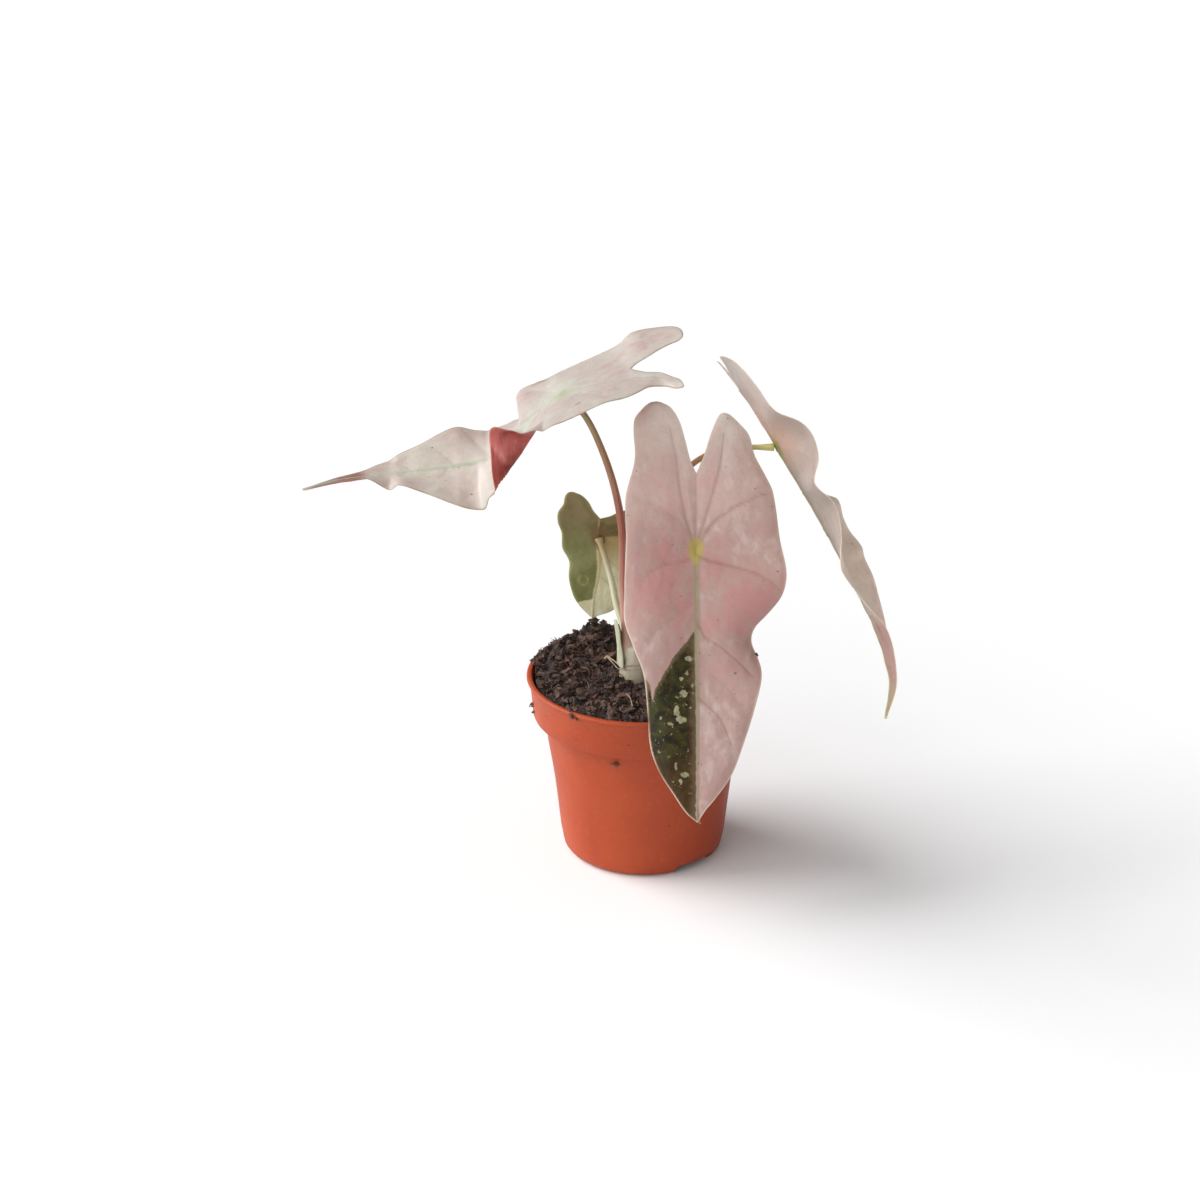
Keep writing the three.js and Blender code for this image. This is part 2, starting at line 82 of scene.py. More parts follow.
class Shader:
    """One node material, built up a step at a time around its Principled shader."""

    def __init__(self, name, coordinates, strength=1.0):
        self.strength = strength
        self.material = bpy.data.materials.new(name)
        self.material.use_nodes = True
        self.tree = self.material.node_tree
        self.surface = self.tree.nodes["Principled BSDF"]
        self.place = self.node("ShaderNodeTexCoord", out=coordinates)

    def node(self, kind, inputs=None, out=0, **settings):
        made = self.tree.nodes.new(kind)
        for key, value in settings.items():
            setattr(made, key, value)
        for key, value in (inputs or {}).items():
            self.feed(made.inputs[key], value)
        return made.outputs[out]

    def feed(self, socket, value):
        if isinstance(value, bpy.types.NodeSocket):
            self.tree.links.new(value, socket)
        else:
            socket.default_value = value

    def rgb(self, red, green, blue):
        """A screen colour at this material's strength."""
        return tuple(self.strength * c for c in srgb(red, green, blue)[:3]) + (1.0,)

    def stretched(self, x, y, z):
        return self.node("ShaderNodeMapping", {"Vector": self.place, "Scale": (x, y, z)})

    def noise(self, scale, detail=2.0, place=None, distortion=0.0):
        inputs = {"Vector": place or self.place, "Scale": scale, "Detail": detail, "Distortion": distortion}
        return self.node("ShaderNodeTexNoise", inputs)

    def cells(self, scale, out="Distance", **settings):
        inputs = {"Vector": self.place, "Scale": scale}
        return self.node("ShaderNodeTexVoronoi", inputs, out=out, **settings)

    def net(self, scale, width):
        """1 on the lines between cells, fading to 0 at the given share of a cell."""
        away = self.cells(scale, 0, feature="DISTANCE_TO_EDGE")
        return self.rest(self.step(away, 0.0, width))

    def part(self, axis):
        return self.node("ShaderNodeSeparateXYZ", {0: self.place}, out=axis)

    def math(self, operation, a, b=0.0):
        return self.node("ShaderNodeMath", {0: a, 1: b}, operation=operation)

    def times(self, a, b):
        return self.math("MULTIPLY", a, b)

    def plus(self, a, b):
        return self.math("ADD", a, b)

    def rest(self, value):
        """What is left of 1."""
        return self.math("SUBTRACT", 1.0, value)

    def centred(self, value, reach):
        """Noise about 0 instead of about a half, with the given reach."""
        return self.times(self.math("SUBTRACT", value, 0.5), reach)

    def uneven(self, value, clouds, reach):
        """The value made uneven by noise, up and down."""
        return self.plus(value, self.centred(clouds, reach))

    def step(self, value, low, high):
        return self.node("ShaderNodeMapRange", {"Value": value, "From Min": low, "From Max": high},
                         interpolation_type="SMOOTHSTEP")

    def patches(self, scale, detail, low, high, distortion=0.0):
        """Soft patches of noise, 0 below the low value and 1 above the high one."""
        return self.step(self.noise(scale, detail, distortion=distortion), low, high)

    def mix(self, share, a, b):
        return self.node("ShaderNodeMix", {0: share, 6: a, 7: b}, out=2, data_type="RGBA")

    def over(self, colour, where, share, tone):
        """The tone laid over a colour where the mask says, by the given share."""
        return self.mix(self.times(where, share), colour, tone)

    def attribute(self, name):
        return self.node("ShaderNodeAttribute", out="Fac", attribute_name=name)

    def dots(self, scale, inner, outer, rarity, softness):
        """Round dots with a soft edge, in the cells whose random number is above the rarity."""
        dot = self.rest(self.step(self.cells(scale), inner, outer))
        number = self.node("ShaderNodeSeparateColor", {0: self.cells(scale, "Color")})
        return self.times(dot, self.step(number, rarity, rarity + softness))

    def finish(self, colour, roughness, height=None, bump=0.3, depth=0.0002, **plain):
        self.feed(self.surface.inputs["Base Color"], colour)
        self.feed(self.surface.inputs["Roughness"], roughness)
        if height is not None:
            normal = self.node("ShaderNodeBump", {"Height": height, "Strength": bump, "Distance": depth})
            self.feed(self.surface.inputs["Normal"], normal)
        for key, value in plain.items():
            self.surface.inputs[key.replace("_", " ")].default_value = value
        return self.material


# Meshes

def add_object(name, data):
    made = bpy.data.objects.new(name, data)
    bpy.context.scene.collection.objects.link(made)
    return made


def make_piece(name, vertices, faces, materials, replaces=(), attributes=None, uv=None,
               faces_use=None, sharp_above=None):
    mesh = bpy.data.meshes.new(name)
    mesh.from_pydata((np.asarray(vertices, float) * MM).tolist(), [], faces)
    for material in materials:
        mesh.materials.append(material)
    if faces_use is not None:
        mesh.polygons.foreach_set("material_index", faces_use)
    for key, values in (attributes or {}).items():
        mesh.attributes.new(key, "FLOAT", "POINT").data.foreach_set("value", np.asarray(values, np.float32))
    if uv is not None:
        corners = np.empty(len(mesh.loops), dtype=np.int32)
        mesh.loops.foreach_get("vertex_index", corners)
        layer = mesh.uv_layers.new(name="UVMap")
        layer.data.foreach_set("uv", np.asarray(uv, np.float32)[corners].ravel())
    mesh.validate()
    mesh.shade_smooth()
    if sharp_above is not None:
        mesh.set_sharp_from_angle(angle=math.radians(sharp_above))
    piece = add_object(name, mesh)
    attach(piece, "root")
    if replaces:
        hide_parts(*replaces)
    return piece


def rings_to_faces(rings, sides):
    """Quads between rings of points, each ring with the same number of sides, and both ends closed."""
    faces = []
    for low in range(0, (rings - 1) * sides, sides):
        for j in range(sides):
            following = (j + 1) % sides
            faces.append((low + j, low + following, low + sides + following, low + sides + j))
    faces.append(tuple(range(sides))[::-1])
    faces.append(tuple((rings - 1) * sides + j for j in range(sides)))
    return faces


def around(radius, turn, height=0.0, centre=(0, 0)):
    """A point round an upright axis, at a turn in radians."""
    return [centre[0] + radius * math.cos(turn), centre[1] + radius * math.sin(turn), height]


def turns(sides):
    """Evenly spaced turns once round, in radians."""
    return [2 * math.pi * j / sides for j in range(sides)]


def tube(points, radii, sides):
    """Rings of points round a path, carried along it without twisting."""
    points = [Vector(p) for p in points]
    rings = []
    side = None
    for i, point in enumerate(points):
        run = (points[min(i + 1, len(points) - 1)] - points[max(i - 1, 0)]).normalized()
        side = run.orthogonal().normalized() if side is None else (side - run * side.dot(run)).normalized()
        other = run.cross(side)
        for turn in turns(sides):
            rings.append(point + radii[i] * (math.cos(turn) * side + math.sin(turn) * other))
    return rings


def join(vertices, faces, points, part):
    """Adds one closed part to the mesh of a piece that has many."""
    first = len(vertices)
    vertices.extend(tuple(p) for p in points)
    faces.extend(tuple(c + first for c in face) for face in part)


def join_tube(vertices, faces, path, radii, sides=5):
    join(vertices, faces, tube(path, radii, sides), rings_to_faces(len(path), sides))


def path_through(points, count):
    """Evenly counted points on a smooth curve through the given ones."""
    points = np.array(points, float)
    away = np.concatenate([[0], np.cumsum(np.linalg.norm(np.diff(points, axis=0), axis=1))])
    knots = [[s, *p] for s, p in zip(away, points)]
    return [[through(knots, s, c) for c in (1, 2, 3)] for s in np.linspace(0, away[-1], count)]


# Leaves. Each blade repeats the named values of its solid. Its midrib is knots of [distance, x, y, z],
# with the distance running from lobe to tip and 0 at the stalk. Each half has knots of [distance, value]
# for its outer and inner margin, its lift and curl in degrees, and where across it the curl sits.

LEFT_BLADE = {
    "face": (0, 0, 1), "sinus": -20, "tip": 79,
    "midrib": [[-38, 12.5, 0, 150.2], [-20, -3.8, 0, 143.2], [0, -22.3, 0, 135.6], [7.3, -28, 0, 130.9],
        [16, -34.5, 0, 124.8], [22.8, -39.2, 0, 120.2], [28, -42.9, 0, 116.6], [37, -51.4, 0, 114.7],
        [51, -65.6, 0, 112.6], [69, -83, 0, 110.5], [79, -93, 0, 108]],
    "left": {
        "outer": [[-36, 8], [-35.7, 10.5], [-34.5, 13], [-33, 14.5], [-29, 16.5], [-22, 18], [-14, 18.3],
            [0, 18], [8, 19], [14, 19], [17, 18], [23, 16.5], [31, 15], [37, 14.5], [46, 10], [52, 7.5],
            [58, 4.5], [62, 2.5], [70, 1.2], [79, 0]],
        "inner": [[-36, 8], [-35.7, 6.3], [-34.5, 5], [-32, 4.8], [-28.7, 4], [-25, 2.4], [-21.5, 1.2],
            [-20, 0]],
        "lift": [[-38, 5], [-29, 8], [-22, 10], [-16, 3], [-3, 0], [4, 1], [8, 5], [14, 8], [16, -8],
            [20, -5], [23, -1], [27, 8], [31, 15], [37, 25], [52, 24], [55, 18], [62, 28], [79, 28]],
        "curl": [[-36, 0], [79, 0]],
    },
    "right": {
        "outer": [[-33.6, 16.3], [-33, 16.9], [-31, 16], [-28, 13.4], [-24, 12.8], [-21, 14.4], [-17, 16],
            [-12, 16], [-5, 17.3], [7, 17.5], [11, 17], [14.5, 16], [18, 19.5], [20.5, 22], [22.5, 22],
            [24.3, 20.4], [25.8, 19.7], [28, 19.7], [29, 18.5], [31, 15.7], [37, 14.5], [46, 10], [52, 7.5],
            [58, 4.5], [62, 2.5], [70, 1.2], [79, 0]],
        "inner": [[-33.6, 16.3], [-33, 13.5], [-31, 10.8], [-28, 7], [-24, 4.7], [-21, 1.6], [-20, 0]],
        "lift": [[-38, -15], [-28, -15], [-24, -10], [-20, -7], [-13, -3], [0, -3], [4, 0], [7, 0],
            [11, -16], [14.5, -30], [18, -27], [20.5, -23], [22.5, -21], [24.3, -14], [25.8, -9], [28, -9],
            [29, -15], [31, -32], [37, -24], [46, -11], [52, -1], [55, -18], [62, 17], [79, 0]],
        "curl": [[6, 0], [11, 48], [13, 78], [16, 112], [18, 132], [20.5, 152], [22.5, 160], [24.3, 151],
            [25.8, 118], [26.8, 0]],
        "crease": [[16, 0.42], [20.5, 0.49], [22.5, 0.55], [24.3, 0.75], [25.8, 0.95], [26.8, 1]],
        "softness": 0.24,
    },
}

FRONT_BLADE = {
    "face": (0, -0.93, 0.37), "sinus": -20.5, "tip": 73.5,
    "midrib": [[-40, 13.9, -3.8, 135.6], [0, 13.7, -19, 98.4], [40, 14.2, -33.5, 61],
        [73.5, 14.2, -46.2, 30]],
    "left": {
        "outer": [[-39.6, 11.2], [-39.3, 12.8], [-38, 14.6], [-34.5, 17], [-24, 16.6], [-14, 19],
            [-3, 18.9], [11, 19.6], [19, 19.9], [26, 17.3], [33, 14.7], [44, 13.6], [53, 12.9],
            [59.5, 10.6], [66, 6.5], [71, 3], [73.5, 0]],
        "inner": [[-39.6, 11.2], [-39.3, 9.5], [-38, 7], [-34.5, 4.7], [-30, 3.2], [-24, 1.6], [-20.5, 0]],
        "lift": [[-40, -6], [-20, 4], [0, 8], [40, 10], [73, 12]],
        "curl": [[-40, -20], [-20, -8], [0, -12], [20, -35], [33, -10], [50, -20], [73, 0]],
    },
    "right": {
        "outer": [[-36.7, 7.3], [-36.3, 8.8], [-34.5, 11], [-31, 14.2], [-25.3, 16], [-20, 18.9],
            [-15.4, 21], [-3.3, 22.5], [6, 24.4], [12.4, 23.2], [17.6, 20], [21.3, 16.9], [25, 15.8],
            [30, 17], [34, 17.4], [40, 16.2], [53.5, 12], [61, 9], [67, 4.8], [70, 2.3], [73.5, 0]],
        "inner": [[-36.7, 7.3], [-36.3, 6.3], [-34.5, 5.2], [-31, 3.8], [-25.3, 2], [-20.5, 0]],
        "lift": [[-40, -4], [-20, 4], [0, 8], [40, 10], [73, 12]],
        "curl": [[-40, -15], [-15, -25], [6, 0], [23, -55], [38, -5], [55, -20], [73, 0]],
    },
}

RIGHT_OUTLINE = {
    "outer": [[-28.4, 8], [-27.8, 11], [-26, 13.5], [-22, 16], [-16, 18], [0, 20], [15, 18], [30, 15.5],
        [45, 13], [55, 10], [65, 6], [74, 2.5], [80, 0]],
    "inner": [[-28.4, 8], [-27.8, 6.5], [-26, 4.8], [-23, 2.5], [-18, 0]],
    "curl": [[-28, 0], [80, 0]],
}

RIGHT_BLADE = {
    "face": (0.87, 0.207, 0.455), "sinus": -18, "tip": 80,
    "midrib": [[-28.4, 19.3, 9.7, 141.9], [-15.5, 27.2, 5.4, 132.6], [0, 35.6, 0, 120.7],
        [13.4, 42.6, -4.7, 110.4], [30, 50.9, -10.7, 97.2], [43.8, 57.1, -15.8, 86],
        [56.2, 62.6, -20.4, 75.9], [69, 66.4, -25.6, 64.6], [73, 66.7, -27.4, 60.6],
        [80, 65.3, -30.6, 53.5]],
    "left": {
        **RIGHT_OUTLINE,
        "lift": [[-29, 6], [-25, 11], [-16, 10.5], [-8, 11], [-2, 23], [3, 26], [9, 21], [14, 8], [21, 15],
            [26, 12], [30, 6], [34, -3], [38, -9], [44, -6], [51, 1], [58, 14], [65, 20], [71, 21],
            [80, 25]],
    },
    "right": {
        **RIGHT_OUTLINE,
        "lift": [[-29, 3], [-16, 8], [-8, 9], [-2, 18], [3, 22], [9, 18], [14, 14], [18, 18], [21, 27],
            [26, 24], [30, 24], [35, 29], [38, 27], [44, 28], [51, 24], [58, 20], [65, 18], [80, 20]],
    },
}

SMALL_BLADE = {
    "face": (0, 0.97, 0.22), "sinus": -5.5, "tip": 28,
    "midrib": [[-13, -10.9, 16.9, 99.1], [0, -12.6, 18, 86.3], [10.4, -12.4, 20, 75.1],
        [19.4, -13.8, 22, 65.3], [28, -14.3, 23.5, 58.6]],
    "left": {
        "outer": [[-9, 8], [-8.5, 9.5], [-6, 10], [0, 9.5], [8, 9], [15, 8.6], [21.4, 7.2], [25, 5],
            [26.5, 2.3], [28, 0]],
        "inner": [[-9, 8], [-8.6, 6], [-7.5, 4], [-6.5, 2.5], [-5.5, 0]],
        "lift": [[-12, 5], [28, 5]],
        "curl": [[-12, 0], [0, 15], [12, -10], [28, 0]],
    },
    "right": {
        "outer": [[-12.3, 8.6], [-12, 9.8], [-10.5, 10.7], [-8, 10.8], [-5.5, 11.9], [-3, 11.6], [0, 10.2],
            [4.3, 10.1], [9, 8.6], [14, 8.1], [18.5, 6.2], [23, 3.6], [25.7, 1.8], [28, 0]],
        "inner": [[-12.3, 8.6], [-12, 6.6], [-10.2, 4.1], [-7.6, 2.2], [-5.5, 0]],
        "lift": [[-12, 5], [28, 5]],
        "curl": [[-12, 10], [0, -10], [8, 20], [16, -10], [28, 0]],
    },
}

# Veins are paths of [across, along] in the blade, across negative on its left, with a width and an amount
FRONT_VEINS = [
    ([[0, 0], [3, -5], [5.6, -8.1], [9.9, -11.3], [17.2, -14.6], [20, -15.3]], 0.6, 1),
    ([[0, 1], [3.4, 2.9], [9, 4.2], [15.7, 6], [19.8, 8.1], [22.5, 11]], 0.55, 1),
    ([[0.5, 20], [2.4, 23.5], [6.5, 26], [11.3, 30.2], [15, 34]], 0.4, 0.9),
    ([[0.5, 40], [5.4, 44.2], [7.5, 47.5], [9.1, 52]], 0.36, 0.85),
    ([[0, 0], [-2.6, -8], [-4.3, -16], [-5.4, -25], [-7, -32.6]], 0.6, 0.6),
    ([[0, 0], [2.4, -8], [4.6, -15], [6.6, -23], [7.4, -31]], 0.5, 0.8),
    ([[0, 0], [0.2, -10], [0, -20]], 0.5, 0.45),
    ([[0, 2], [-3.5, 3.2], [-8, 3.6], [-13, 6]], 0.45, 0.8),
    ([[0, -3], [-5, -8.5], [-11, -12], [-16, -14]], 0.4, 0.25),
    ([[0, 14], [-5, 17], [-11, 22], [-15, 28]], 0.4, 0.25),
    ([[0, 30], [4, 33.5], [9, 38], [13, 43]], 0.35, 0.3),
]


# A distance beyond which no edge and no vein has an effect
FAR = 99.0


def side_veins(blade, starts, width, amount=0.8):
    """Veins that leave the midrib on both sides and bow towards the tip, and one into each lobe."""
    veins = []
    for side, half in ((-1, blade["left"]), (1, blade["right"])):
        for k, start in enumerate(starts):
            reach = 0.9 * through(half["outer"], start + 7)
            veins.append(([[side * reach * t, start + side * 0.8 + (4 + 0.32 * reach) * t ** 1.4]
                           for t in np.linspace(0, 1, 6)], width * (1 - 0.08 * k), amount))
        first = half["outer"][0][0]
        middle = 0.5 * (through(half["outer"], 0.8 * first) + through(half["inner"], 0.8 * first))
        veins.append(([[side * middle * t ** 1.5, 0.85 * first * t] for t in np.linspace(0, 1, 6)],
                      width, amount + 0.1))
        veins.append(([[side * 0.8 * through(half["outer"], 0.35 * first) * t, 0.38 * first * t ** 0.8]
                       for t in np.linspace(0, 1, 5)], 0.8 * width, amount))
    return veins


def vein_fields(veins, across, along):
    """How much each point is on a vein, 0 to 1, and its distance from the nearest one."""
    strength = np.zeros(len(across))
    nearest = np.full(len(across), FAR)
    for path, width, amount in veins:
        length = sum(math.dist(a, b) for a, b in zip(path, path[1:]))
        gone = 0.0
        for (x0, y0), (x1, y1) in zip(path, path[1:]):
            piece = math.dist((x0, y0), (x1, y1))
            t = np.clip(((across - x0) * (x1 - x0) + (along - y0) * (y1 - y0)) / piece ** 2, 0, 1)
            away = np.hypot(across - x0 - t * (x1 - x0), along - y0 - t * (y1 - y0))
            share = 1 - 0.75 * (gone + t * piece) / length
            line = np.exp(-(away / (width * (0.45 + 0.55 * share))) ** 2)
            strength = np.maximum(strength, amount * share ** 0.5 * line)
            nearest = np.minimum(nearest, away + 1.5 * (1 - share))
            gone += piece
    return strength, nearest


def blade_rows(half, blade, lobe_rows, body_rows):
    lobe = np.linspace(0, 1, lobe_rows) ** 1.8
    body = 1 - (1 - np.linspace(0, 1, body_rows)) ** 1.25
    start, sinus = half["outer"][0][0], blade["sinus"]
    return [start + (sinus - start) * lobe, sinus + (blade["tip"] - sinus) * body]


def blade_row(blade, half, side, along, columns):
    """Points across one half at one distance along it, with how far across each is and from the edge."""
    def spine(at):
        return np.array([through(blade["midrib"], at, c) for c in (1, 2, 3)])

    width = max(through(half["outer"], along), 1e-6)
    inner = through(half["inner"], along) if along < blade["sinus"] else 0.0
    run = spine(min(along + 0.5, blade["tip"])) - spine(max(along - 0.5, blade["midrib"][0][0]))
    run /= np.linalg.norm(run)
    rightward = np.cross(blade["face"], run)
    rightward /= np.linalg.norm(rightward)
    upward = np.cross(run, rightward)
    lift = math.radians(through(half["lift"], along))
    curl = math.radians(through(half["curl"], along))
    crease = through(half.get("crease", [[0, 0.65]]), along)
    softness = half.get("softness", 0.7)
    steps = 60
    parts = (np.arange(steps) + 0.5) / steps
    angle = lift + curl * smooth(parts, crease - softness / 2, crease + softness / 2)
    outward = np.concatenate([[0], np.cumsum(np.cos(angle))]) * width / steps
    risen = np.concatenate([[0], np.cumsum(np.sin(angle))]) * width / steps
    reach = inner + (width - inner) * np.linspace(0, 1, columns + 1)
    where = reach / width * steps
    a = np.interp(where, np.arange(steps + 1), outward)
    b = np.interp(where, np.arange(steps + 1), risen)
    points = spine(along) + side * np.outer(a, rightward) + np.outer(b, upward)
    return points, side * reach, np.minimum(width - reach, reach - inner + FAR * (inner == 0))


def blade_sheet(blade, lobe_rows, body_rows, columns):
    """The blade's middle surface: points, [across, along], distance from the edge, and faces."""
    points, flat, edge, quads = [], [], [], []
    for side, half in ((-1, blade["left"]), (1, blade["right"])):
        for rows in blade_rows(half, blade, lobe_rows, body_rows):
            first = len(points)
            for along in rows:
                row, across, rim = blade_row(blade, half, side, float(along), columns)
                points.extend(row)
                flat.extend([a, along] for a in across)
                edge.extend(rim)
            for i in range(len(rows) - 1):
                for j in range(columns):
                    a = first + i * (columns + 1) + j
                    quad = (a, a + columns + 1, a + columns + 2, a + 1)
                    quads.append(quad if side > 0 else quad[::-1])
    points = np.array(points)
    _, keep, place = np.unique(np.round(points, 3), axis=0, return_index=True, return_inverse=True)
    place = place.ravel()
    faces = []
    for quad in quads:
        corners = list(dict.fromkeys(int(place[c]) for c in quad))
        if len(corners) > 2:
            faces.append(tuple(corners))
    return points[keep], np.array(flat)[keep], np.array(edge)[keep], faces


def vertex_normals(points, faces):
    normals = np.zeros_like(points)
    for face in faces:
        a, b, c = points[face[0]], points[face[1]], points[face[2]]
        across = np.cross(b - a, c - a)
        if len(face) == 4:
            across = across + np.cross(c - a, points[face[3]] - a)
        for corner in face:
            normals[corner] += across
    return normals / np.maximum(np.linalg.norm(normals, axis=1), 1e-9)[:, None]


def make_blade(name, blade, veins, materials, rows, thickness=0.42, midrib_width=0.75, puff=0.22,
               crinkle=0.22, keel=0.4, extra=None):
    points, flat, edge, faces = blade_sheet(blade, *rows)
    normals = vertex_normals(points, faces)
    across, along = flat[:, 0], flat[:, 1]
    strength, nearest = vein_fields(veins, across, along)
    taper = midrib_width * (1 - 0.6 * smooth(along, 0, blade["tip"]))
    midrib = np.exp(-(across / taper) ** 4) * smooth(along, -1.5, 1)
    swell = puff * (1 - np.exp(-(np.minimum(nearest, np.abs(across) + 0.5) / 2.4) ** 2))
    folds = np.array([noise.noise(Vector((a * 0.13, b * 0.2, 4)))
                      + 0.5 * noise.noise(Vector((a * 0.45, b * 0.33, 8))) for a, b in flat])
    points = points + normals * ((swell + crinkle * folds) * smooth(edge, 0, 3))[:, None]
    thick = thickness * (0.4 + 0.6 * smooth(edge, 0, 1.2))
    ridge = np.exp(-(across / taper) ** 2) * smooth(along, -1.5, 1)
    top = points + normals * (thick / 2 - 0.1 * strength + 0.2 * ridge)[:, None]
    under = points - normals * (thick / 2 + 0.16 * strength + keel * ridge)[:, None]
    count = len(points)
    sides = {}
    for face in faces:
        for a, b in zip(face, face[1:] + face[:1]):
            if sides.pop((b, a), None) is None:
                sides[(a, b)] = True
    walls = [(b, a, a + count, b + count) for a, b in sides]
    solid = faces + [tuple(c + count for c in reversed(face)) for face in faces] + walls
    use = [0] * len(faces) + [1] * len(faces) + [0] * len(walls)
    fields = {"vein": strength, "midrib": midrib, "rim": 1 - smooth(edge, 0.05, 0.6), **(extra or {})}
    fields = {key: value(across, along) if callable(value) else value for key, value in fields.items()}
    return make_piece(name, np.vstack([top, under]), solid, materials, replaces=[name],
                      attributes={key: np.concatenate([v, v]) for key, v in fields.items()},
                      uv=np.vstack([flat, flat]) / 100 + 0.5, faces_use=use)


def green_sector(across, along):
    """Millimetres inside the dark green sector on the left of the front blade, negative outside."""
    border = [[-0.6, 21.2], [-2.9, 24.4], [-6.2, 28], [-9.3, 33.2], [-11.5, 36.8], [-12.3, 40.5],
              [-12.9, 36], [-15, 33]]
    upper = np.interp(-across, [-b[0] for b in border], [b[1] for b in border])
    inside = np.minimum(along - upper, -across - 0.4)
    return np.where(across < 0.5, inside, -5.0)


def soft_spots(spots, power=2):
    """A field that is the sum of soft oval spots: across, along, two radii and an amount each."""
    def field(across, along):
        total = np.zeros(len(across))
        for x, y, wide, long, amount in spots:
            away = ((across - x) / wide) ** 2 + ((along - y) / long) ** 2
            total += amount * np.exp(-away ** (power / 2))
        return total
    return field


# Pale (above 0) and deep (below 0) spots: across, along, two radii, amount
FRONT_TONES = [
    (-9, -37, 9, 5, 1.3), (-2.6, -28, 1.6, 6, 0.9), (8.6, -24, 2.3, 9, 1.1), (11, -7, 6, 4, 0.4),
    (7, 55, 7, 8, 0.8), (-13, 26, 5, 6, 0.4), (-13, -4, 3, 5, 0.4), (17, -1, 4, 4, 0.4),
    (15, -33, 4, 4, 0.6), (4, 40, 3, 8, 0.3), (-8, 1, 5, 5, -1.2), (-10, 10, 6, 7, -1.3),
    (8, 5, 5, 3, -0.8), (13, 14, 8, 5, -1.3), (4.4, -22, 1.7, 9, -0.9), (-11, -14, 4, 8, -0.4),
    (7, 20, 6, 4, -0.6), (-5, 17, 4, 5, -0.6), (12, -15, 5, 3, -0.4), (7, 33, 6, 6, -0.3),
    (-10, 28, 4, 4, -0.3)]
LEFT_TONES = [
    (-10, 33, 4, 4, -0.7), (-12, 12, 4, 3, -0.7), (-12, -24, 4, 6, -0.6), (9, -12, 3, 6, -0.4),
    (8, 6, 4, 5, -0.4), (10, 34, 4, 5, -0.4), (-3, 1, 6, 5, 1.1), (6, -26, 4, 7, 0.6), (-6, 45, 5, 6, 0.7),
    (10, 40, 5, 6, 0.5)]
CREAM_BLOTCHES = [
    (-4, 38.5, 1.2, 1.2, 1), (-5.8, 43, 1, 1.6, 1), (-4.6, 45.6, 1.7, 1, 1), (-2.4, 29.1, 1.2, 0.8, 1),
    (-7.4, 46.8, 0.8, 0.6, 1), (-10.1, 45, 0.5, 0.7, 1), (-6, 58.1, 0.5, 1.2, 1), (-3.6, 60.4, 1.4, 0.8, 1),
    (-4.7, 62.4, 0.5, 1, 1), (-3, 33, 0.6, 0.8, 0.9), (-4.6, 34.4, 0.6, 0.6, 0.9),
    (-1.5, 36.4, 0.6, 0.8, 0.8), (-2.3, 42.4, 0.7, 0.5, 0.9), (-1.4, 38.4, 0.5, 0.5, 0.8),
    (-2, 65.6, 0.6, 0.5, 0.7), (-2.8, 53.6, 0.4, 0.9, 0.6)]


def leaf_skin(name, tones, vein, rim, midrib, joint, fleck, strength=1.0, extra=None, vein_share=0.6,
              patchy=1.0, gloss=0.46, shine=0.35, glow=(0.002, 0.0012, 0.0009)):
    """Leaf tissue: three tones in soft clouds, a net of fine veins, main veins, a thin rim and flecks."""
    s = Shader(name, "UV", strength)
    deep, middle, pale = (s.rgb(*c) for c in tones)
    vein, rim, midrib, joint, fleck = (s.rgb(*c) for c in (vein, rim, midrib, joint, fleck))
    clouds = s.centred(s.noise(13, 4, s.stretched(1, 0.8, 1), distortion=0.7), 2.4 * patchy)
    fine = s.centred(s.noise(52, 5, s.stretched(1, 0.5, 1), distortion=0.3), 2.2 * patchy)
    tone = s.plus(s.plus(clouds, fine), s.attribute("tone"))
    colour = s.mix(s.step(tone, -1.1, 0.0), deep, middle)
    colour = s.mix(s.step(tone, 0.0, 1.1), colour, pale)
    net = s.net(36, 0.11)
    lines = s.attribute("vein")
    colour = s.over(colour, s.patches(150, 3, 0.5, 0.75), 0.22, middle)
    if extra is not None:
        colour = extra(s, colour)
    colour = s.over(colour, net, 0.05, vein)
    uneven = s.times(lines, s.patches(24, 3, 0.1, 0.55))
    colour = s.mix(s.times(uneven, vein_share), colour, vein)
    colour = s.over(colour, s.step(s.attribute("midrib"), 0.1, 0.8), 0.85, midrib)
    oval = s.node("ShaderNodeMapping",
                  {"Vector": s.place, "Location": (0.005, -0.31, 0), "Scale": (1, 0.62, 1)})
    away = s.node("ShaderNodeVectorMath", {0: oval, 1: (0.505, 0, 0)}, out="Value", operation="DISTANCE")
    spot = s.rest(s.step(s.uneven(away, s.noise(45, 3), 0.02), 0.014, 0.028))
    colour = s.over(colour, spot, 0.9, joint)
    for scale, size, rarity in ((19, 0.085, 0.35), (41, 0.11, 0.58)):
        colour = s.over(colour, s.dots(scale, 0.5 * size, size, rarity, 0.02), 0.7, fleck)
    margin = s.times(s.attribute("rim"), s.patches(9, 3, 0.25, 0.6))
    colour = s.over(colour, margin, 0.85, rim)
    height = s.plus(s.times(s.noise(75, 4), 0.7), s.times(s.noise(240, 2), 0.2))
    height = s.math("SUBTRACT", height, s.plus(s.times(lines, 0.6), s.times(net, 0.08)))
    roughness = s.plus(s.times(s.noise(25, 3), 0.16), gloss - 0.08)
    return s.finish(colour, roughness, height, bump=0.5, depth=0.0003, Subsurface_Weight=0.45,
                    Subsurface_Scale=1.0, Subsurface_Radius=glow, Specular_IOR_Level=shine)


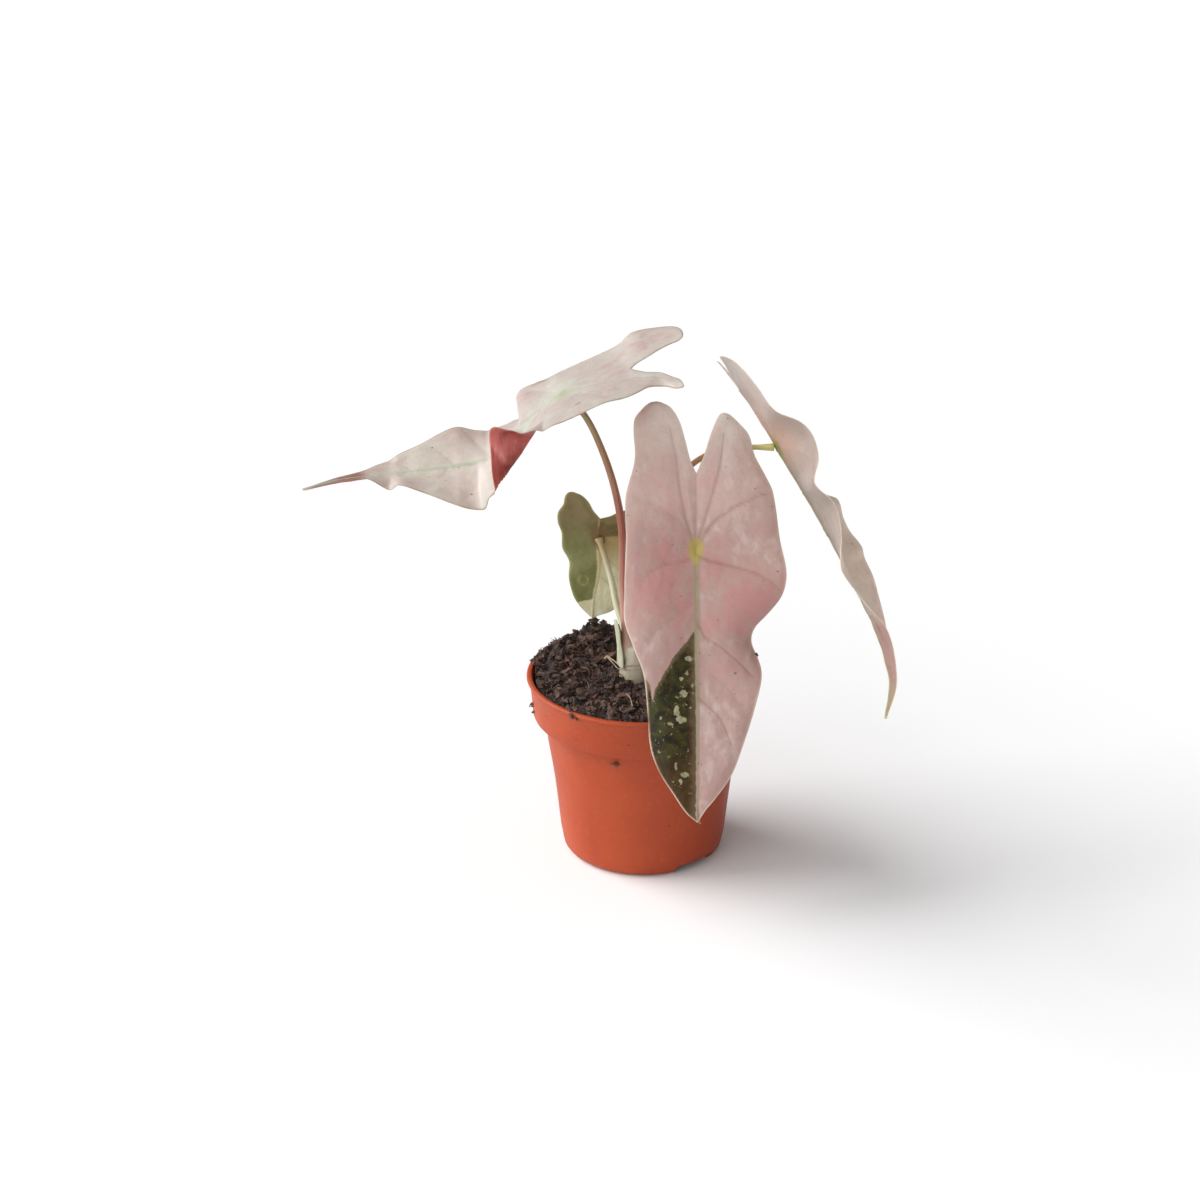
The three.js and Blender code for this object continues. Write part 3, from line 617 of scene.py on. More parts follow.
def dark_green(s, colour):
    """The dark green sector with its cream blotches, browner at its border and towards the tip."""
    inside = s.attribute("green")
    mask = s.step(s.uneven(inside, s.noise(60, 3), 1.6), -0.1, 0.3)
    along = s.part("Y")
    green = s.mix(s.patches(30, 4, 0.38, 0.66, 0.5), s.rgb(24, 27, 6), s.rgb(50, 56, 18))
    green = s.over(green, s.patches(64, 4, 0.55, 0.72), 0.4, s.rgb(88, 92, 54))
    low = s.step(s.uneven(along, s.noise(20, 2), 0.06), 1.0, 1.14)
    green = s.over(green, low, 0.6, s.rgb(62, 50, 18))
    beside = s.times(s.step(s.part("X"), 0.478, 0.492), s.step(along, 0.92, 1.0))
    green = s.over(green, beside, 0.7, s.rgb(46, 32, 16))
    edge = s.rest(s.step(s.uneven(inside, s.noise(35, 3), 3.0), 0.2, 2.6))
    green = s.over(green, edge, 0.7, s.rgb(112, 98, 76))
    blotch = s.step(s.uneven(s.attribute("blotch"), s.noise(95, 4, distortion=1.0), 2.2), 0.45, 0.7)
    pale = s.mix(s.patches(60, 2, 0.4, 0.6), s.rgb(142, 146, 112), s.rgb(166, 166, 136))
    green = s.over(green, blotch, 0.9, pale)
    crumbs = s.times(s.patches(110, 2, 0.64, 0.68, 0.6), s.patches(14, 2, 0.5, 0.6))
    green = s.over(green, crumbs, 0.75, s.rgb(150, 150, 112))
    return s.mix(mask, colour, green)


def grey_lobes(s, colour):
    """Greyish ends of the lobes, then the green sector."""
    ragged = s.uneven(s.part("Y"), s.noise(16, 3), 0.12)
    upper = s.rest(s.step(ragged, 0.34, 0.5))
    colour = s.over(colour, upper, 0.32, s.rgb(216, 202, 196))
    lobes = s.rest(s.step(ragged, 0.1, 0.3))
    colour = s.over(colour, lobes, 0.8, s.rgb(200, 194, 187))
    return dark_green(s, colour)


def olive_part(s, colour):
    """The small blade: olive with a pale ring on it, and tan to cream on the other half and at the tip."""
    along = s.uneven(s.part("Y"), s.noise(30, 3, s.stretched(1, 0.4, 1)), 0.05)
    colour = s.mix(s.rest(s.step(along, 0.5, 0.64)), colour, s.rgb(160, 140, 98))
    streaks = s.step(s.noise(60, 3, s.stretched(1, 0.12, 1)), 0.45, 0.65)
    colour = s.over(colour, s.times(streaks, s.step(along, 0.56, 0.66)), 0.7, s.rgb(226, 226, 206))
    olive_amount = s.uneven(s.attribute("olive"), s.noise(26, 3), 1.6)
    olive = s.mix(s.step(along, 0.44, 0.56), s.rgb(120, 106, 72), s.rgb(118, 120, 78))
    olive = s.over(olive, s.patches(22, 3, 0.45, 0.65), 0.5, s.rgb(96, 100, 52))
    olive = s.over(olive, s.step(s.attribute("dark"), 0.3, 0.9), 0.7, s.rgb(94, 74, 44))
    ring = s.step(s.uneven(s.attribute("blotch"), s.noise(60, 2), 0.5), 0.35, 0.7)
    olive = s.over(olive, ring, 0.7, s.rgb(156, 164, 104))
    return s.mix(s.step(olive_amount, -0.5, 0.6), colour, olive)


def left_marks(s, colour):
    """A soft greenish band on the midrib, an olive smudge, a brown-pink spot, painted light on the shaded
    part by the fold, and a brown tail.
    """
    band = s.times(s.attribute("band"), s.patches(20, 3, 0.25, 0.6))
    colour = s.over(colour, band, 0.75, s.rgb(214, 218, 194))
    stain_and_shade = s.uneven(s.attribute("stain_and_shade"), s.noise(50, 3), 0.7)
    colour = s.over(colour, s.step(stain_and_shade, 0.35, 0.8), 0.6, s.rgb(160, 146, 124))
    spot = s.uneven(s.attribute("spot"), s.noise(70, 3), 0.8)
    colour = s.over(colour, s.step(spot, 0.4, 0.8), 0.6, s.rgb(178, 118, 106))
    # Painted light: the outer half by the fold is brightened where it lies in shade.
    colour = s.over(colour, s.attribute("light"), 0.6, s.rgb(255, 246, 238))
    tail = s.part("Y")
    colour = s.over(colour, s.step(tail, 1.1, 1.14), 0.9, s.rgb(146, 96, 84))
    return s.over(colour, s.step(tail, 1.18, 1.23), 0.9, s.rgb(160, 156, 154))


def red_tail(s, colour):
    """Greyish at the lobes, a painted peach glow of light through the leaf by the stalk, redder towards the
    tip, brown streaks that are partly painted shade of its curls, and green at the tip itself.
    """
    along = s.part("Y")
    lobes = s.rest(s.step(along, 0.24, 0.36))
    colour = s.over(colour, lobes, 0.6, s.rgb(208, 204, 196))
    # Painted glow: peach by the stalk, where light shines through the leaf.
    painted_glow = s.times(s.step(along, 0.34, 0.44), s.rest(s.step(along, 0.5, 0.6)))
    aside = s.math("ABSOLUTE", s.math("SUBTRACT", s.part("X"), 0.5))
    painted_glow = s.times(painted_glow, s.rest(s.step(aside, 0.06, 0.16)))
    painted_glow = s.times(painted_glow, s.patches(11, 3, 0.2, 0.55))
    colour = s.over(colour, painted_glow, 0.7, s.rgb(230, 192, 172))
    grey = s.times(s.step(along, 0.58, 0.66), s.rest(s.step(along, 0.92, 1.0)))
    colour = s.over(colour, grey, 0.45, s.rgb(182, 170, 158))
    dull = s.step(s.uneven(along, s.noise(22, 4), 0.16), 1.01, 1.08)
    colour = s.over(colour, dull, 0.65, s.rgb(178, 136, 130))
    # Brown streaks, partly the leaf's own marks and partly painted shade where the blade curls.
    streak = s.times(s.attribute("stain_and_shade"), s.patches(40, 3, 0.35, 0.6))
    colour = s.over(colour, streak, 0.7, s.rgb(150, 92, 84))
    return s.over(colour, s.step(along, 1.19, 1.26), 0.8, s.rgb(166, 158, 124))


FRONT_RIM = (206, 184, 170)
front_top = leaf_skin("front_upper_skin", ((172, 131, 129), (166, 141, 135), (180, 162, 158)),
                      (132, 102, 88), FRONT_RIM, (152, 140, 112), (168, 154, 84), (110, 66, 60), shine=0.22,
                      patchy=1.3, extra=grey_lobes)
front_under = leaf_skin("front_under_skin", ((174, 134, 130), (178, 150, 143), (190, 172, 164)),
                        (156, 118, 100), FRONT_RIM, (180, 174, 134), (176, 168, 98), (116, 74, 64),
                        vein_share=0.8, gloss=0.55, shine=0.25, extra=dark_green)
left_top = leaf_skin("left_upper_skin", ((204, 180, 174), (208, 199, 191), (212, 213, 201)),
                     (186, 170, 158), (138, 130, 108), (206, 212, 190), (196, 206, 172), (146, 98, 90),
                     strength=0.6, vein_share=0.2, patchy=1.3, extra=left_marks)
left_under = leaf_skin("left_under_skin", ((138, 62, 58), (170, 86, 80), (192, 116, 106)), (122, 52, 50),
                       (186, 146, 130), (180, 118, 102), (168, 136, 96), (112, 44, 44), strength=0.76,
                       gloss=0.5, patchy=1.5)
# Strength 1.45 raises this skin's colours to make up for the shade its visible part lies in: painted light.
right_top = leaf_skin("right_upper_skin", ((178, 154, 144), (184, 170, 160), (194, 184, 176)),
                      (152, 126, 114), (190, 172, 156), (180, 176, 142), (172, 164, 104), (122, 82, 74),
                      strength=1.45, extra=red_tail, vein_share=0.25)
right_under = leaf_skin("right_under_skin", ((194, 168, 156), (198, 182, 172), (208, 198, 188)),
                        (166, 138, 124), (196, 178, 160), (184, 176, 136), (178, 172, 104), (132, 88, 80),
                        strength=0.68, extra=red_tail, gloss=0.5, vein_share=0.3)
small_top = leaf_skin("small_upper_skin", ((182, 174, 140), (192, 188, 158), (204, 202, 178)),
                      (150, 144, 100), (130, 124, 82), (190, 186, 146), (120, 96, 60), (100, 80, 54),
                      glow=(0.001, 0.001, 0.0008), extra=olive_part)
small_under = leaf_skin("small_under_skin", ((186, 178, 146), (198, 194, 166), (210, 210, 188)),
                        (140, 130, 92), (140, 134, 90), (184, 172, 130), (108, 86, 54), (100, 80, 54),
                        strength=1.12, gloss=0.5, vein_share=0.4, glow=(0.001, 0.001, 0.0008),
                        extra=olive_part)


def midrib_band(across, along):
    """A soft band on the midrib of the left blade's outer part, and round its stalk."""
    outer = np.exp(-(across / 1.9) ** 2) * smooth(along, 27, 34) * (1 - smooth(along, 52, 60))
    return np.maximum(outer, 0.7 * np.exp(-(across / 4) ** 2 - ((along - 1) / 5) ** 2))


def olive_field(across, along):
    """Olive on one half and above the middle of the other, cream towards the tip."""
    return np.maximum(across, np.where(across < 0, 0.6 - along, across)) - smooth(along, 19, 23.5) * 8 - 0.3


make_blade("blade_front", FRONT_BLADE, FRONT_VEINS, [front_top, front_under], (46, 190, 60),
           midrib_width=0.95, puff=0.3,
           extra={"green": green_sector, "tone": soft_spots(FRONT_TONES),
                  "blotch": soft_spots(CREAM_BLOTCHES, 4)})
make_blade("blade_left", LEFT_BLADE, side_veins(LEFT_BLADE, (2, 14, 27, 38, 49), 0.4, 0.45),
           [left_top, left_under], (34, 190, 40), midrib_width=0.9,
           extra={"tone": soft_spots(LEFT_TONES), "band": midrib_band,
                  "stain_and_shade": soft_spots([(-17.8, 6.5, 1.6, 4, 1)]),
                  # light: painted light that brightens the shaded outer half by the fold
                  "light": soft_spots([(-9, 31, 9, 6, 0.9), (8, 33, 9, 7, 0.9), (0, 46, 12, 9, 0.4)]),
                  "spot": soft_spots([(11, -4.7, 1, 1.4, 1), (19.7, 26.4, 0.8, 1.4, 1.3)])})
make_blade("blade_right", RIGHT_BLADE, side_veins(RIGHT_BLADE, (2, 14, 27, 40, 52), 0.4),
           [right_top, right_under], (34, 170, 34), midrib_width=0.8,
           # Brown streaks on this blade are partly its own marks and partly painted shade where it curls.
           extra={"stain_and_shade": soft_spots([(-3.2, 55, 1.3, 6, 1), (-1.5, 68, 1.2, 3, 0.7),
                                       (-15.5, 13, 2, 3, 0.6), (-13.5, 30, 1.5, 5, 0.4),
                                       (9.8, 47, 1.2, 5, 0.45), (8, 57, 1.2, 5, 0.7)])})
make_blade("blade_small", SMALL_BLADE, side_veins(SMALL_BLADE, (1, 7, 13), 0.3), [small_top, small_under],
           (22, 80, 26), midrib_width=0.5, puff=0.12, thickness=0.35, keel=0.2,
           extra={"olive": olive_field, "dark": soft_spots([(0, -2.4, 3.6, 2.4, 1.1), (-6, -2, 4, 2.5, 1)]),
                  "blotch": soft_spots([(3.9, 14.2, 1.7, 2, 1.4), (3.9, 14.2, 1, 1.2, -1.4)])})

# Stalks, the swollen foot of the plant and its papery scale

STALK_ROWS, STALK_SIDES = 72, 14
# Of each stalk: its points from foot to top, its radius at both, its slot, and its colours up the stalk
STALKS = {
    "left": (
        [[-3.7, -2.3, 59], [-4.6, -1.8, 66], [-5.6, -0.8, 78], [-5.9, 0, 94], [-7.6, 0, 106],
         [-11, 0, 118], [-16.2, 0, 129.6], [-21.8, 0, 134.9]], 1.4, 0.8, "red_stalk",
        [(0.0, (196, 188, 164)), (0.08, (176, 132, 116)), (0.17, (182, 128, 116)), (0.3, (160, 98, 84)),
         (0.5, (152, 82, 66)), (0.74, (152, 112, 80)), (1.0, (154, 142, 92))]),
    "front": (
        [[-0.3, -2.8, 59], [1, -3, 68], [4.5, -3, 84], [9.5, -4.5, 97], [12.5, -8.2, 103],
         [13.6, -12.7, 102.8], [13.7, -17.9, 99.2]], 1.2, 0.8, "red_stalk",
        [(0.0, (190, 170, 140)), (0.3, (186, 120, 104)), (1.0, (170, 140, 96))]),
    "right": (
        [[-0.6, 0.6, 59], [0.6, 1.4, 72], [3, 1.6, 92], [9, 1.2, 110], [15.8, 0.6, 117.2], [25, 0.2, 120],
         [35.1, -0.2, 120.5]], 1.2, 0.7, "green_stalk",
        [(0.0, (196, 190, 150)), (0.4, (190, 160, 110)), (0.8, (196, 148, 100)), (0.92, (196, 196, 124))]),
    "small": (
        [[-3.5, 0.8, 59], [-5, 2.8, 63.5], [-7.5, 7.5, 70], [-9, 12, 76], [-11, 15.4, 82],
         [-12.5, 17.3, 86]], 1.0, 0.8, "pale_stalk",
        [(0.0, (186, 188, 162)), (0.6, (186, 184, 154)), (1.0, (166, 146, 102))]),
}


def stalk_skin(name, stops):
    """Stalk tissue that changes colour from its foot to its top, with fine lengthwise lines."""
    s = Shader(name, "UV")
    along = s.part("Y")
    shifted = s.uneven(along, s.noise(9, 3), 0.12)
    colour = s.rgb(*stops[0][1])
    for (low, _), (high, tone) in zip(stops, stops[1:]):
        colour = s.mix(s.step(shifted, low, high), colour, s.rgb(*tone))
    lines = s.noise(14, 4, s.stretched(3, 0.4, 1))
    colour = s.over(colour, s.step(lines, 0.5, 0.7), 0.3, srgb(226, 214, 176))
    colour = s.over(colour, s.patches(60, 3, 0.6, 0.75), 0.3, srgb(110, 70, 58))
    return s.finish(colour, s.plus(s.times(lines, 0.2), 0.32), lines, bump=0.25, depth=0.0001,
                    Subsurface_Weight=0.1, Subsurface_Scale=1.0, Subsurface_Radius=(0.001, 0.0006, 0.0004))


for key, (points, foot, top, slot, stops) in STALKS.items():
    t = np.linspace(0, 1, STALK_ROWS)
    flare = 1 + 0.5 * smooth(t, 0.94, 1) + 0.9 * np.exp(-(t / 0.07) ** 2)
    radii = ((foot + (top - foot) * t) * flare).tolist()
    rings = tube(path_through(points, STALK_ROWS), radii, STALK_SIDES)
    coordinates = [[j / STALK_SIDES, up] for up in t for j in range(STALK_SIDES)]
    make_piece(f"petiole_{key}", rings, rings_to_faces(STALK_ROWS, STALK_SIDES),
               [stalk_skin(f"{key}_stalk_skin", stops)], replaces=[f"petiole_{key}"], uv=coordinates)

STEM_AT = (-1.9, -1.0)
STEM_ROWS, STEM_SIDES = 36, 40
STEM_OUTLINE = [
    [43, 3.2], [46, 4.9], [50, 5.0], [54, 4.75], [58, 4.55], [61.2, 4.3], [62.5, 3.8], [63, 2.9]]


def stem_skin(name, pale, green, streak, gloss):
    s = Shader(name, "Object")
    pale, green, streak = (s.rgb(*c) for c in (pale, green, streak))
    colour = s.mix(s.patches(260, 3, 0.35, 0.65), pale, green)
    lines = s.noise(900, 4, s.stretched(1, 1, 0.12))
    colour = s.over(colour, s.step(lines, 0.5, 0.68), 0.4, streak)
    height = s.part("Z")
    low = s.rest(s.step(s.plus(height, s.times(s.noise(400, 2), 0.002)), 0.053, 0.057))
    colour = s.over(colour, low, 0.65, srgb(120, 92, 68))
    return s.finish(colour, gloss, lines, bump=0.4, depth=0.0002, Subsurface_Weight=0.1,
                    Subsurface_Scale=1.0, Subsurface_Radius=(0.0015, 0.001, 0.0006))


base_skin = stem_skin("stem_base_skin", (190, 182, 162), (180, 176, 150), (146, 130, 104), 0.45)
sheath_skin = stem_skin("stem_sheath_skin", (188, 186, 164), (168, 170, 142), (140, 130, 102), 0.6)

rings = []
for height in np.linspace(STEM_OUTLINE[0][0], STEM_OUTLINE[-1][0], STEM_ROWS):
    for turn in turns(STEM_SIDES):
        folds = 0.05 * math.sin(3 * turn + 0.12 * height) + 0.025 * math.sin(7 * turn + 0.3 * height)
        radius = through(STEM_OUTLINE, height) * (1 + folds * (height > 50))
        rings.append(around(radius, turn, height, STEM_AT))
make_piece("stem_base", rings, rings_to_faces(STEM_ROWS, STEM_SIDES), [base_skin],
           replaces=["stem_base"])


def scale_leaf(low, high, middle, widest, radius, rows=30, columns=18, thickness=0.25):
    """A thin scale round the foot that rises to a ragged point."""
    outside, inside = [], []
    for i in range(rows + 1):
        t = i / rows
        spread = widest * math.sqrt(max(1 - t ** 2.2, 0.0004))
        for j in range(columns + 1):
            angle = math.radians(middle + spread * (2 * j / columns - 1) + 5 * t * math.sin(9 * t))
            out = radius + 0.9 * t ** 2 + 0.12 * math.sin(5 * angle + 4 * t)
            height = low + (high - low) * t + 0.5 * math.sin(11 * angle) * t
            for sheet, r in ((outside, out), (inside, out - thickness)):
                sheet.append(around(r, angle, height, STEM_AT))
    wide = columns + 1
    quads = [(i * wide + j, i * wide + j + 1, (i + 1) * wide + j + 1, (i + 1) * wide + j)
             for i in range(rows) for j in range(columns)]
    count = len(outside)
    border = (list(range(wide)) + [i * wide + columns for i in range(1, rows + 1)]
              + [rows * wide + j for j in range(columns - 1, -1, -1)]
              + [i * wide for i in range(rows - 1, 0, -1)])
    walls = [(b, a, a + count, b + count) for a, b in zip(border, border[1:] + border[:1])]
    return outside + inside, quads + [tuple(c + count for c in reversed(q)) for q in quads] + walls


vertices, faces = scale_leaf(low=56.2, high=70.4, middle=192, widest=36, radius=5.5)
make_piece("stem_sheath", vertices, faces, [sheath_skin], replaces=["stem_sheath"])

# Potting soil

SOIL_LEVEL = 51.6
SOIL_RADIUS = 30.1
SOIL_RINGS, SOIL_SIDES = 95, 270
SOIL_WALL = [
    [1.6, 0.5], [1.6, 19.5], [2.9, 20.7], [6.9, 21.5], [21, 23.1], [33, 25], [41.9, 26.4], [42.4, 29.1],
    [49.5, 29.9]]
HEAP_AT = (-13.5, 25.5)
BANK_DIRECTION = 134


def apart(degrees, direction):
    """The signed difference of two directions, -180 to 180 degrees."""
    return (degrees - direction + 180) % 360 - 180


def soil_height(x, y):
    """The solids' surface with finer clods on it and a little more soil against the stem."""
    heap = 2.2 * math.exp(-(math.hypot(x - HEAP_AT[0], y - HEAP_AT[1]) / 4.2) ** 2)
    turn = apart(math.degrees(math.atan2(y, x)), BANK_DIRECTION)
    bank = 2.3 * float(smooth(math.hypot(x, y), 16, 27)) * math.exp(-(turn / 42) ** 2)
    clods = (math.sin(x * 0.9 + 1.3 * math.sin(y * 0.55)) * math.cos(y * 0.8 + 1.1 * math.sin(x * 0.6))
             + 0.5 * math.sin(x * 1.9 + y * 1.3) * math.cos(y * 2.1 - x * 0.7))
    place = Vector((x, y, 3))
    fine = sum(reach * noise.noise(place * scale) for scale, reach in ((0.35, 1.3), (0.9, 0.9), (2.2, 0.5)))
    close = 1.6 * math.exp(-(math.hypot(x - STEM_AT[0], y - STEM_AT[1]) / 7) ** 4)
    return SOIL_LEVEL + heap + bank + 0.8 * clods + fine + close


def soil_skin(name, dark, warm, light, tinted=False):
    s = Shader(name, "Object")
    dark, warm, light = (s.rgb(*c) for c in (dark, warm, light))
    colour = s.mix(s.patches(420, 4, 0.35, 0.65), dark, warm)
    colour = s.over(colour, s.patches(1500, 3, 0.58, 0.7), 0.5, light)
    if tinted:
        tint = s.attribute("tint")
        colour = s.over(colour, s.step(tint, 0.5, 1.0), 0.7, srgb(98, 74, 62))
        colour = s.over(colour, s.step(tint, 0.97, 0.995), 0.8, srgb(132, 104, 84))
    grain = s.noise(2600, 5)
    return s.finish(colour, s.plus(s.times(grain, 0.2), 0.72), grain, bump=0.8, depth=0.0003)


ground_skin = soil_skin("soil_skin", (28, 20, 18), (54, 38, 32), (92, 66, 54))
crumb_skin = soil_skin("crumb_skin", (42, 30, 25), (86, 62, 51), (142, 108, 90), tinted=True)

rings = [around(radius, turn, height) for height, radius in SOIL_WALL for turn in turns(SOIL_SIDES)]
for k in range(SOIL_RINGS, 0, -1):
    for turn in turns(SOIL_SIDES):
        x, y, _ = around(SOIL_RADIUS * k / SOIL_RINGS, turn)
        rings.append([x, y, soil_height(x, y)])
make_piece("soil", rings, rings_to_faces(len(SOIL_WALL) + SOIL_RINGS, SOIL_SIDES), [ground_skin],
           replaces=["soil"])


def ball_mesh(subdivisions):
    ball = bmesh.new()
    bmesh.ops.create_icosphere(ball, subdivisions=subdivisions, radius=1)
    points = np.array([v.co[:] for v in ball.verts])
    faces = [tuple(v.index for v in f.verts) for f in ball.faces]
    ball.free()
    return points, faces


def crumb(draw, at, size, points):
    """One rough crumb: a ball pushed in and out, drawn out and turned at random."""
    push = Vector([draw.uniform(0, 90) for _ in range(3)])
    bumps = np.array([1 + sum(reach * noise.noise(Vector(p) * scale + push)
                              for scale, reach in ((1.2, 0.9), (2.9, 0.6), (6.0, 0.45))) for p in points])
    turn = Matrix.Rotation(draw.uniform(0, 6.28), 3, "Z") @ Matrix.Rotation(draw.uniform(-1.1, 1.1), 3, "X")
    scale = size * np.array([draw.uniform(0.9, 1.6), draw.uniform(0.6, 1.0), draw.uniform(0.5, 0.85)])
    return (points * bumps[:, None] * scale) @ np.array(turn).T + np.array(at)


def crumbs_at(name, spots, seed, material, subdivisions):
    draw = random.Random(seed)
    ball_points, ball_faces = ball_mesh(subdivisions)
    vertices, faces, tints = [], [], []
    for at, size in spots:
        join(vertices, faces, crumb(draw, at, size, ball_points), ball_faces)
        tints.extend([draw.random()] * len(ball_points))
    return make_piece(name, vertices, faces, [material], attributes={"tint": tints}, sharp_above=32)


def spot_within(draw, reach):
    """A random place on the soil within a reach of the pot's axis: how far it is from there, x and y."""
    away, turn = reach * math.sqrt(draw.random()), draw.uniform(0, 2 * math.pi)
    return away, away * math.cos(turn), away * math.sin(turn)


def spread_over_soil(seed, count, smallest, largest):
    """Places on the soil with a size each, more small ones than large, and none under the plant's foot."""
    draw = random.Random(seed)
    spots = []
    while len(spots) < count:
        away, x, y = spot_within(draw, 29.7)
        size = smallest + (largest - smallest) * draw.random() ** 2.2
        if math.hypot(x - STEM_AT[0], y - STEM_AT[1]) > 5.2 + size and away < 30 - 0.8 * size:
            spots.append(((x, y, soil_height(x, y) + draw.uniform(-0.1, 0.6) * size), size))
    return spots


crumbs_at("soil_clods", spread_over_soil(7, 400, 0.6, 1.7), 11, crumb_skin, 2)
crumbs_at("soil_crumbs", spread_over_soil(8, 2400, 0.2, 0.7), 12, crumb_skin, 1)


def fibres(name, count, seed, material):
    """Thin roots and coir fibres that lie bent on the soil."""
    draw = random.Random(seed)
    vertices, faces = [], []
    for _ in range(count):
        _, x, y = spot_within(draw, 27)
        heading = draw.uniform(0, 2 * math.pi)
        path = []
        for k in range(9):
            path.append((x, y, soil_height(x, y) + 0.35 + 0.5 * math.sin(k / 8 * math.pi) * draw.random()))
            heading += draw.uniform(-0.5, 0.5)
            step = draw.uniform(0.4, 0.9)
            x, y = x + step * math.cos(heading), y + step * math.sin(heading)
            if math.hypot(x, y) > 29:
                break
        if len(path) >= 4:
            join_tube(vertices, faces, path, [draw.uniform(0.08, 0.16)] * len(path))
    return make_piece(name, vertices, faces, [material])


fibre_skin = soil_skin("fibre_skin", (92, 66, 54), (120, 92, 74), (150, 124, 102))
fibres("soil_fibres", 130, 5, fibre_skin)

thread_skin = soil_skin("thread_skin", (176, 154, 132), (140, 116, 96), (190, 174, 150))
THREAD_ROWS = 30
THREADS = (
    ([[-10.4, 5.4, 54.6], [-9.6, 4.5, 55.2], [-8, 1.4, 55.6], [-7.1, -1.6, 56.2], [-5.7, -4.5, 57],
      [-3.2, -5.9, 57.7], [-0.2, -6.1, 57.9]], 0.17),
    ([[-9.9, 4.9, 55], [-8.4, 1.2, 55], [-7.3, -2.2, 55.3], [-5.6, -5.2, 56], [-2.6, -6.3, 56.6],
      [0.4, -6.1, 56.8]], 0.13),
    ([[-10.6, 5.8, 54.4], [-10, 5, 55.3], [-9.2, 4, 55.2]], 0.45),
    ([[-4.9, -14.9, 53.6], [-3.9, -18.3, 54], [-3.2, -22.6, 53.4]], 0.14))
vertices, faces = [], []
for points, radius in THREADS:
    join_tube(vertices, faces, path_through(points, THREAD_ROWS), [radius] * THREAD_ROWS, 6)
make_piece("root_threads", vertices, faces, [thread_skin])

# Nursery pot: one turned wall, [radius, height] from the floor's underside over the lip to its top,
# whose foot rises into two drain notches

POT_PROFILE = [
    [0.6, 0], [10.6, 0], [11.2, 0], [19.6, 0], [20.7, 0.25], [21.6, 1], [22.2, 1.8], [22.5, 3.2],
    [23.1, 6.7], [23.9, 14], [24.7, 21], [25.6, 27], [26.6, 33], [27.55, 40.1], [27.85, 40.7],
    [28.3, 40.95], [30.1, 40.95], [30.5, 41.1], [30.72, 41.6], [31.1, 46], [31.65, 51.1], [31.9, 51.5],
    [32.3, 51.7], [32.48, 52.05], [32.42, 52.45], [32.15, 52.72], [31.7, 52.8], [31.2, 52.72],
    [30.95, 52.4], [30.6, 51.2], [29.65, 42.1], [29.3, 41.75], [27.3, 41.6], [26.9, 41.3], [25.5, 33],
    [23.6, 21], [22, 6.7], [21.3, 3.7], [21.1, 2.6], [20.5, 1.6], [19.8, 1.2], [9.9, 1.2], [9.3, 1.2],
    [0.6, 1.2]]
NOTCH_DIRECTIONS = (-48, 132)
FIRST_INNER = 29
POT_SIDES = 288
# A drain notch on each face of the wall: its ceiling, the radius where it starts, and half its angle
NOTCH_OUTSIDE = (2.5, 11, 17.5)
NOTCH_INSIDE = (3.7, 9.5, 21)
HOLE_AT = 15.85
HOLE_RADIUS = 2.6
LIP_TOP = 52.9
BRISTLE_RADII = [0.13, 0.12, 0.1, 0.08, 0.05]


def notch_depth(degrees, half_width):
    """1 well inside a drain notch, 0 outside, with a short slope between."""
    away = min(abs(apart(degrees, d)) for d in NOTCH_DIRECTIONS)
    return 1 - float(smooth(away, half_width - 0.7, half_width + 0.7))


rings = []
for k, (radius, height) in enumerate(POT_PROFILE):
    ceiling, start, half_width = NOTCH_INSIDE if k >= FIRST_INNER else NOTCH_OUTSIDE
    rise = max(ceiling - height, 0) if radius > start else 0
    for j in range(POT_SIDES):
        degrees = 360 * j / POT_SIDES
        raised = height + rise * notch_depth(degrees, half_width)
        rings.append(around(radius, math.radians(degrees), raised))


def pot_skin():
    """Matt moulded plastic with faint flow marks, scuffs and soil dust."""
    s = Shader("pot_skin", "Object")
    colour = s.mix(s.patches(45, 4, 0.3, 0.7), srgb(168, 69, 33), srgb(158, 61, 28))
    colour = s.over(colour, s.patches(700, 4, 0.5, 0.8), 0.22, srgb(186, 92, 54))
    streaks = s.noise(180, 3, s.stretched(1, 1, 0.15))
    colour = s.over(colour, s.step(streaks, 0.52, 0.75), 0.18, srgb(138, 56, 32))
    height = s.part("Z")
    high = s.step(height, 0.0385, 0.0525)
    colour = s.over(colour, s.times(high, s.patches(520, 4, 0.6, 0.74)), 0.4, srgb(96, 60, 46))
    colour = s.over(colour, s.dots(170, 0.06, 0.1, 0.72, 0.04), 0.6, srgb(110, 56, 42))
    grain = s.plus(s.noise(3200, 2), s.times(s.noise(240, 2), 0.6))
    roughness = s.plus(s.times(s.noise(300, 3), 0.14), 0.42)
    return s.finish(colour, roughness, grain, bump=0.12, depth=0.00008, Specular_IOR_Level=0.28)


pot = make_piece("pot", rings, rings_to_faces(len(POT_PROFILE), POT_SIDES), [pot_skin()],
                 replaces=["pot"], sharp_above=38)


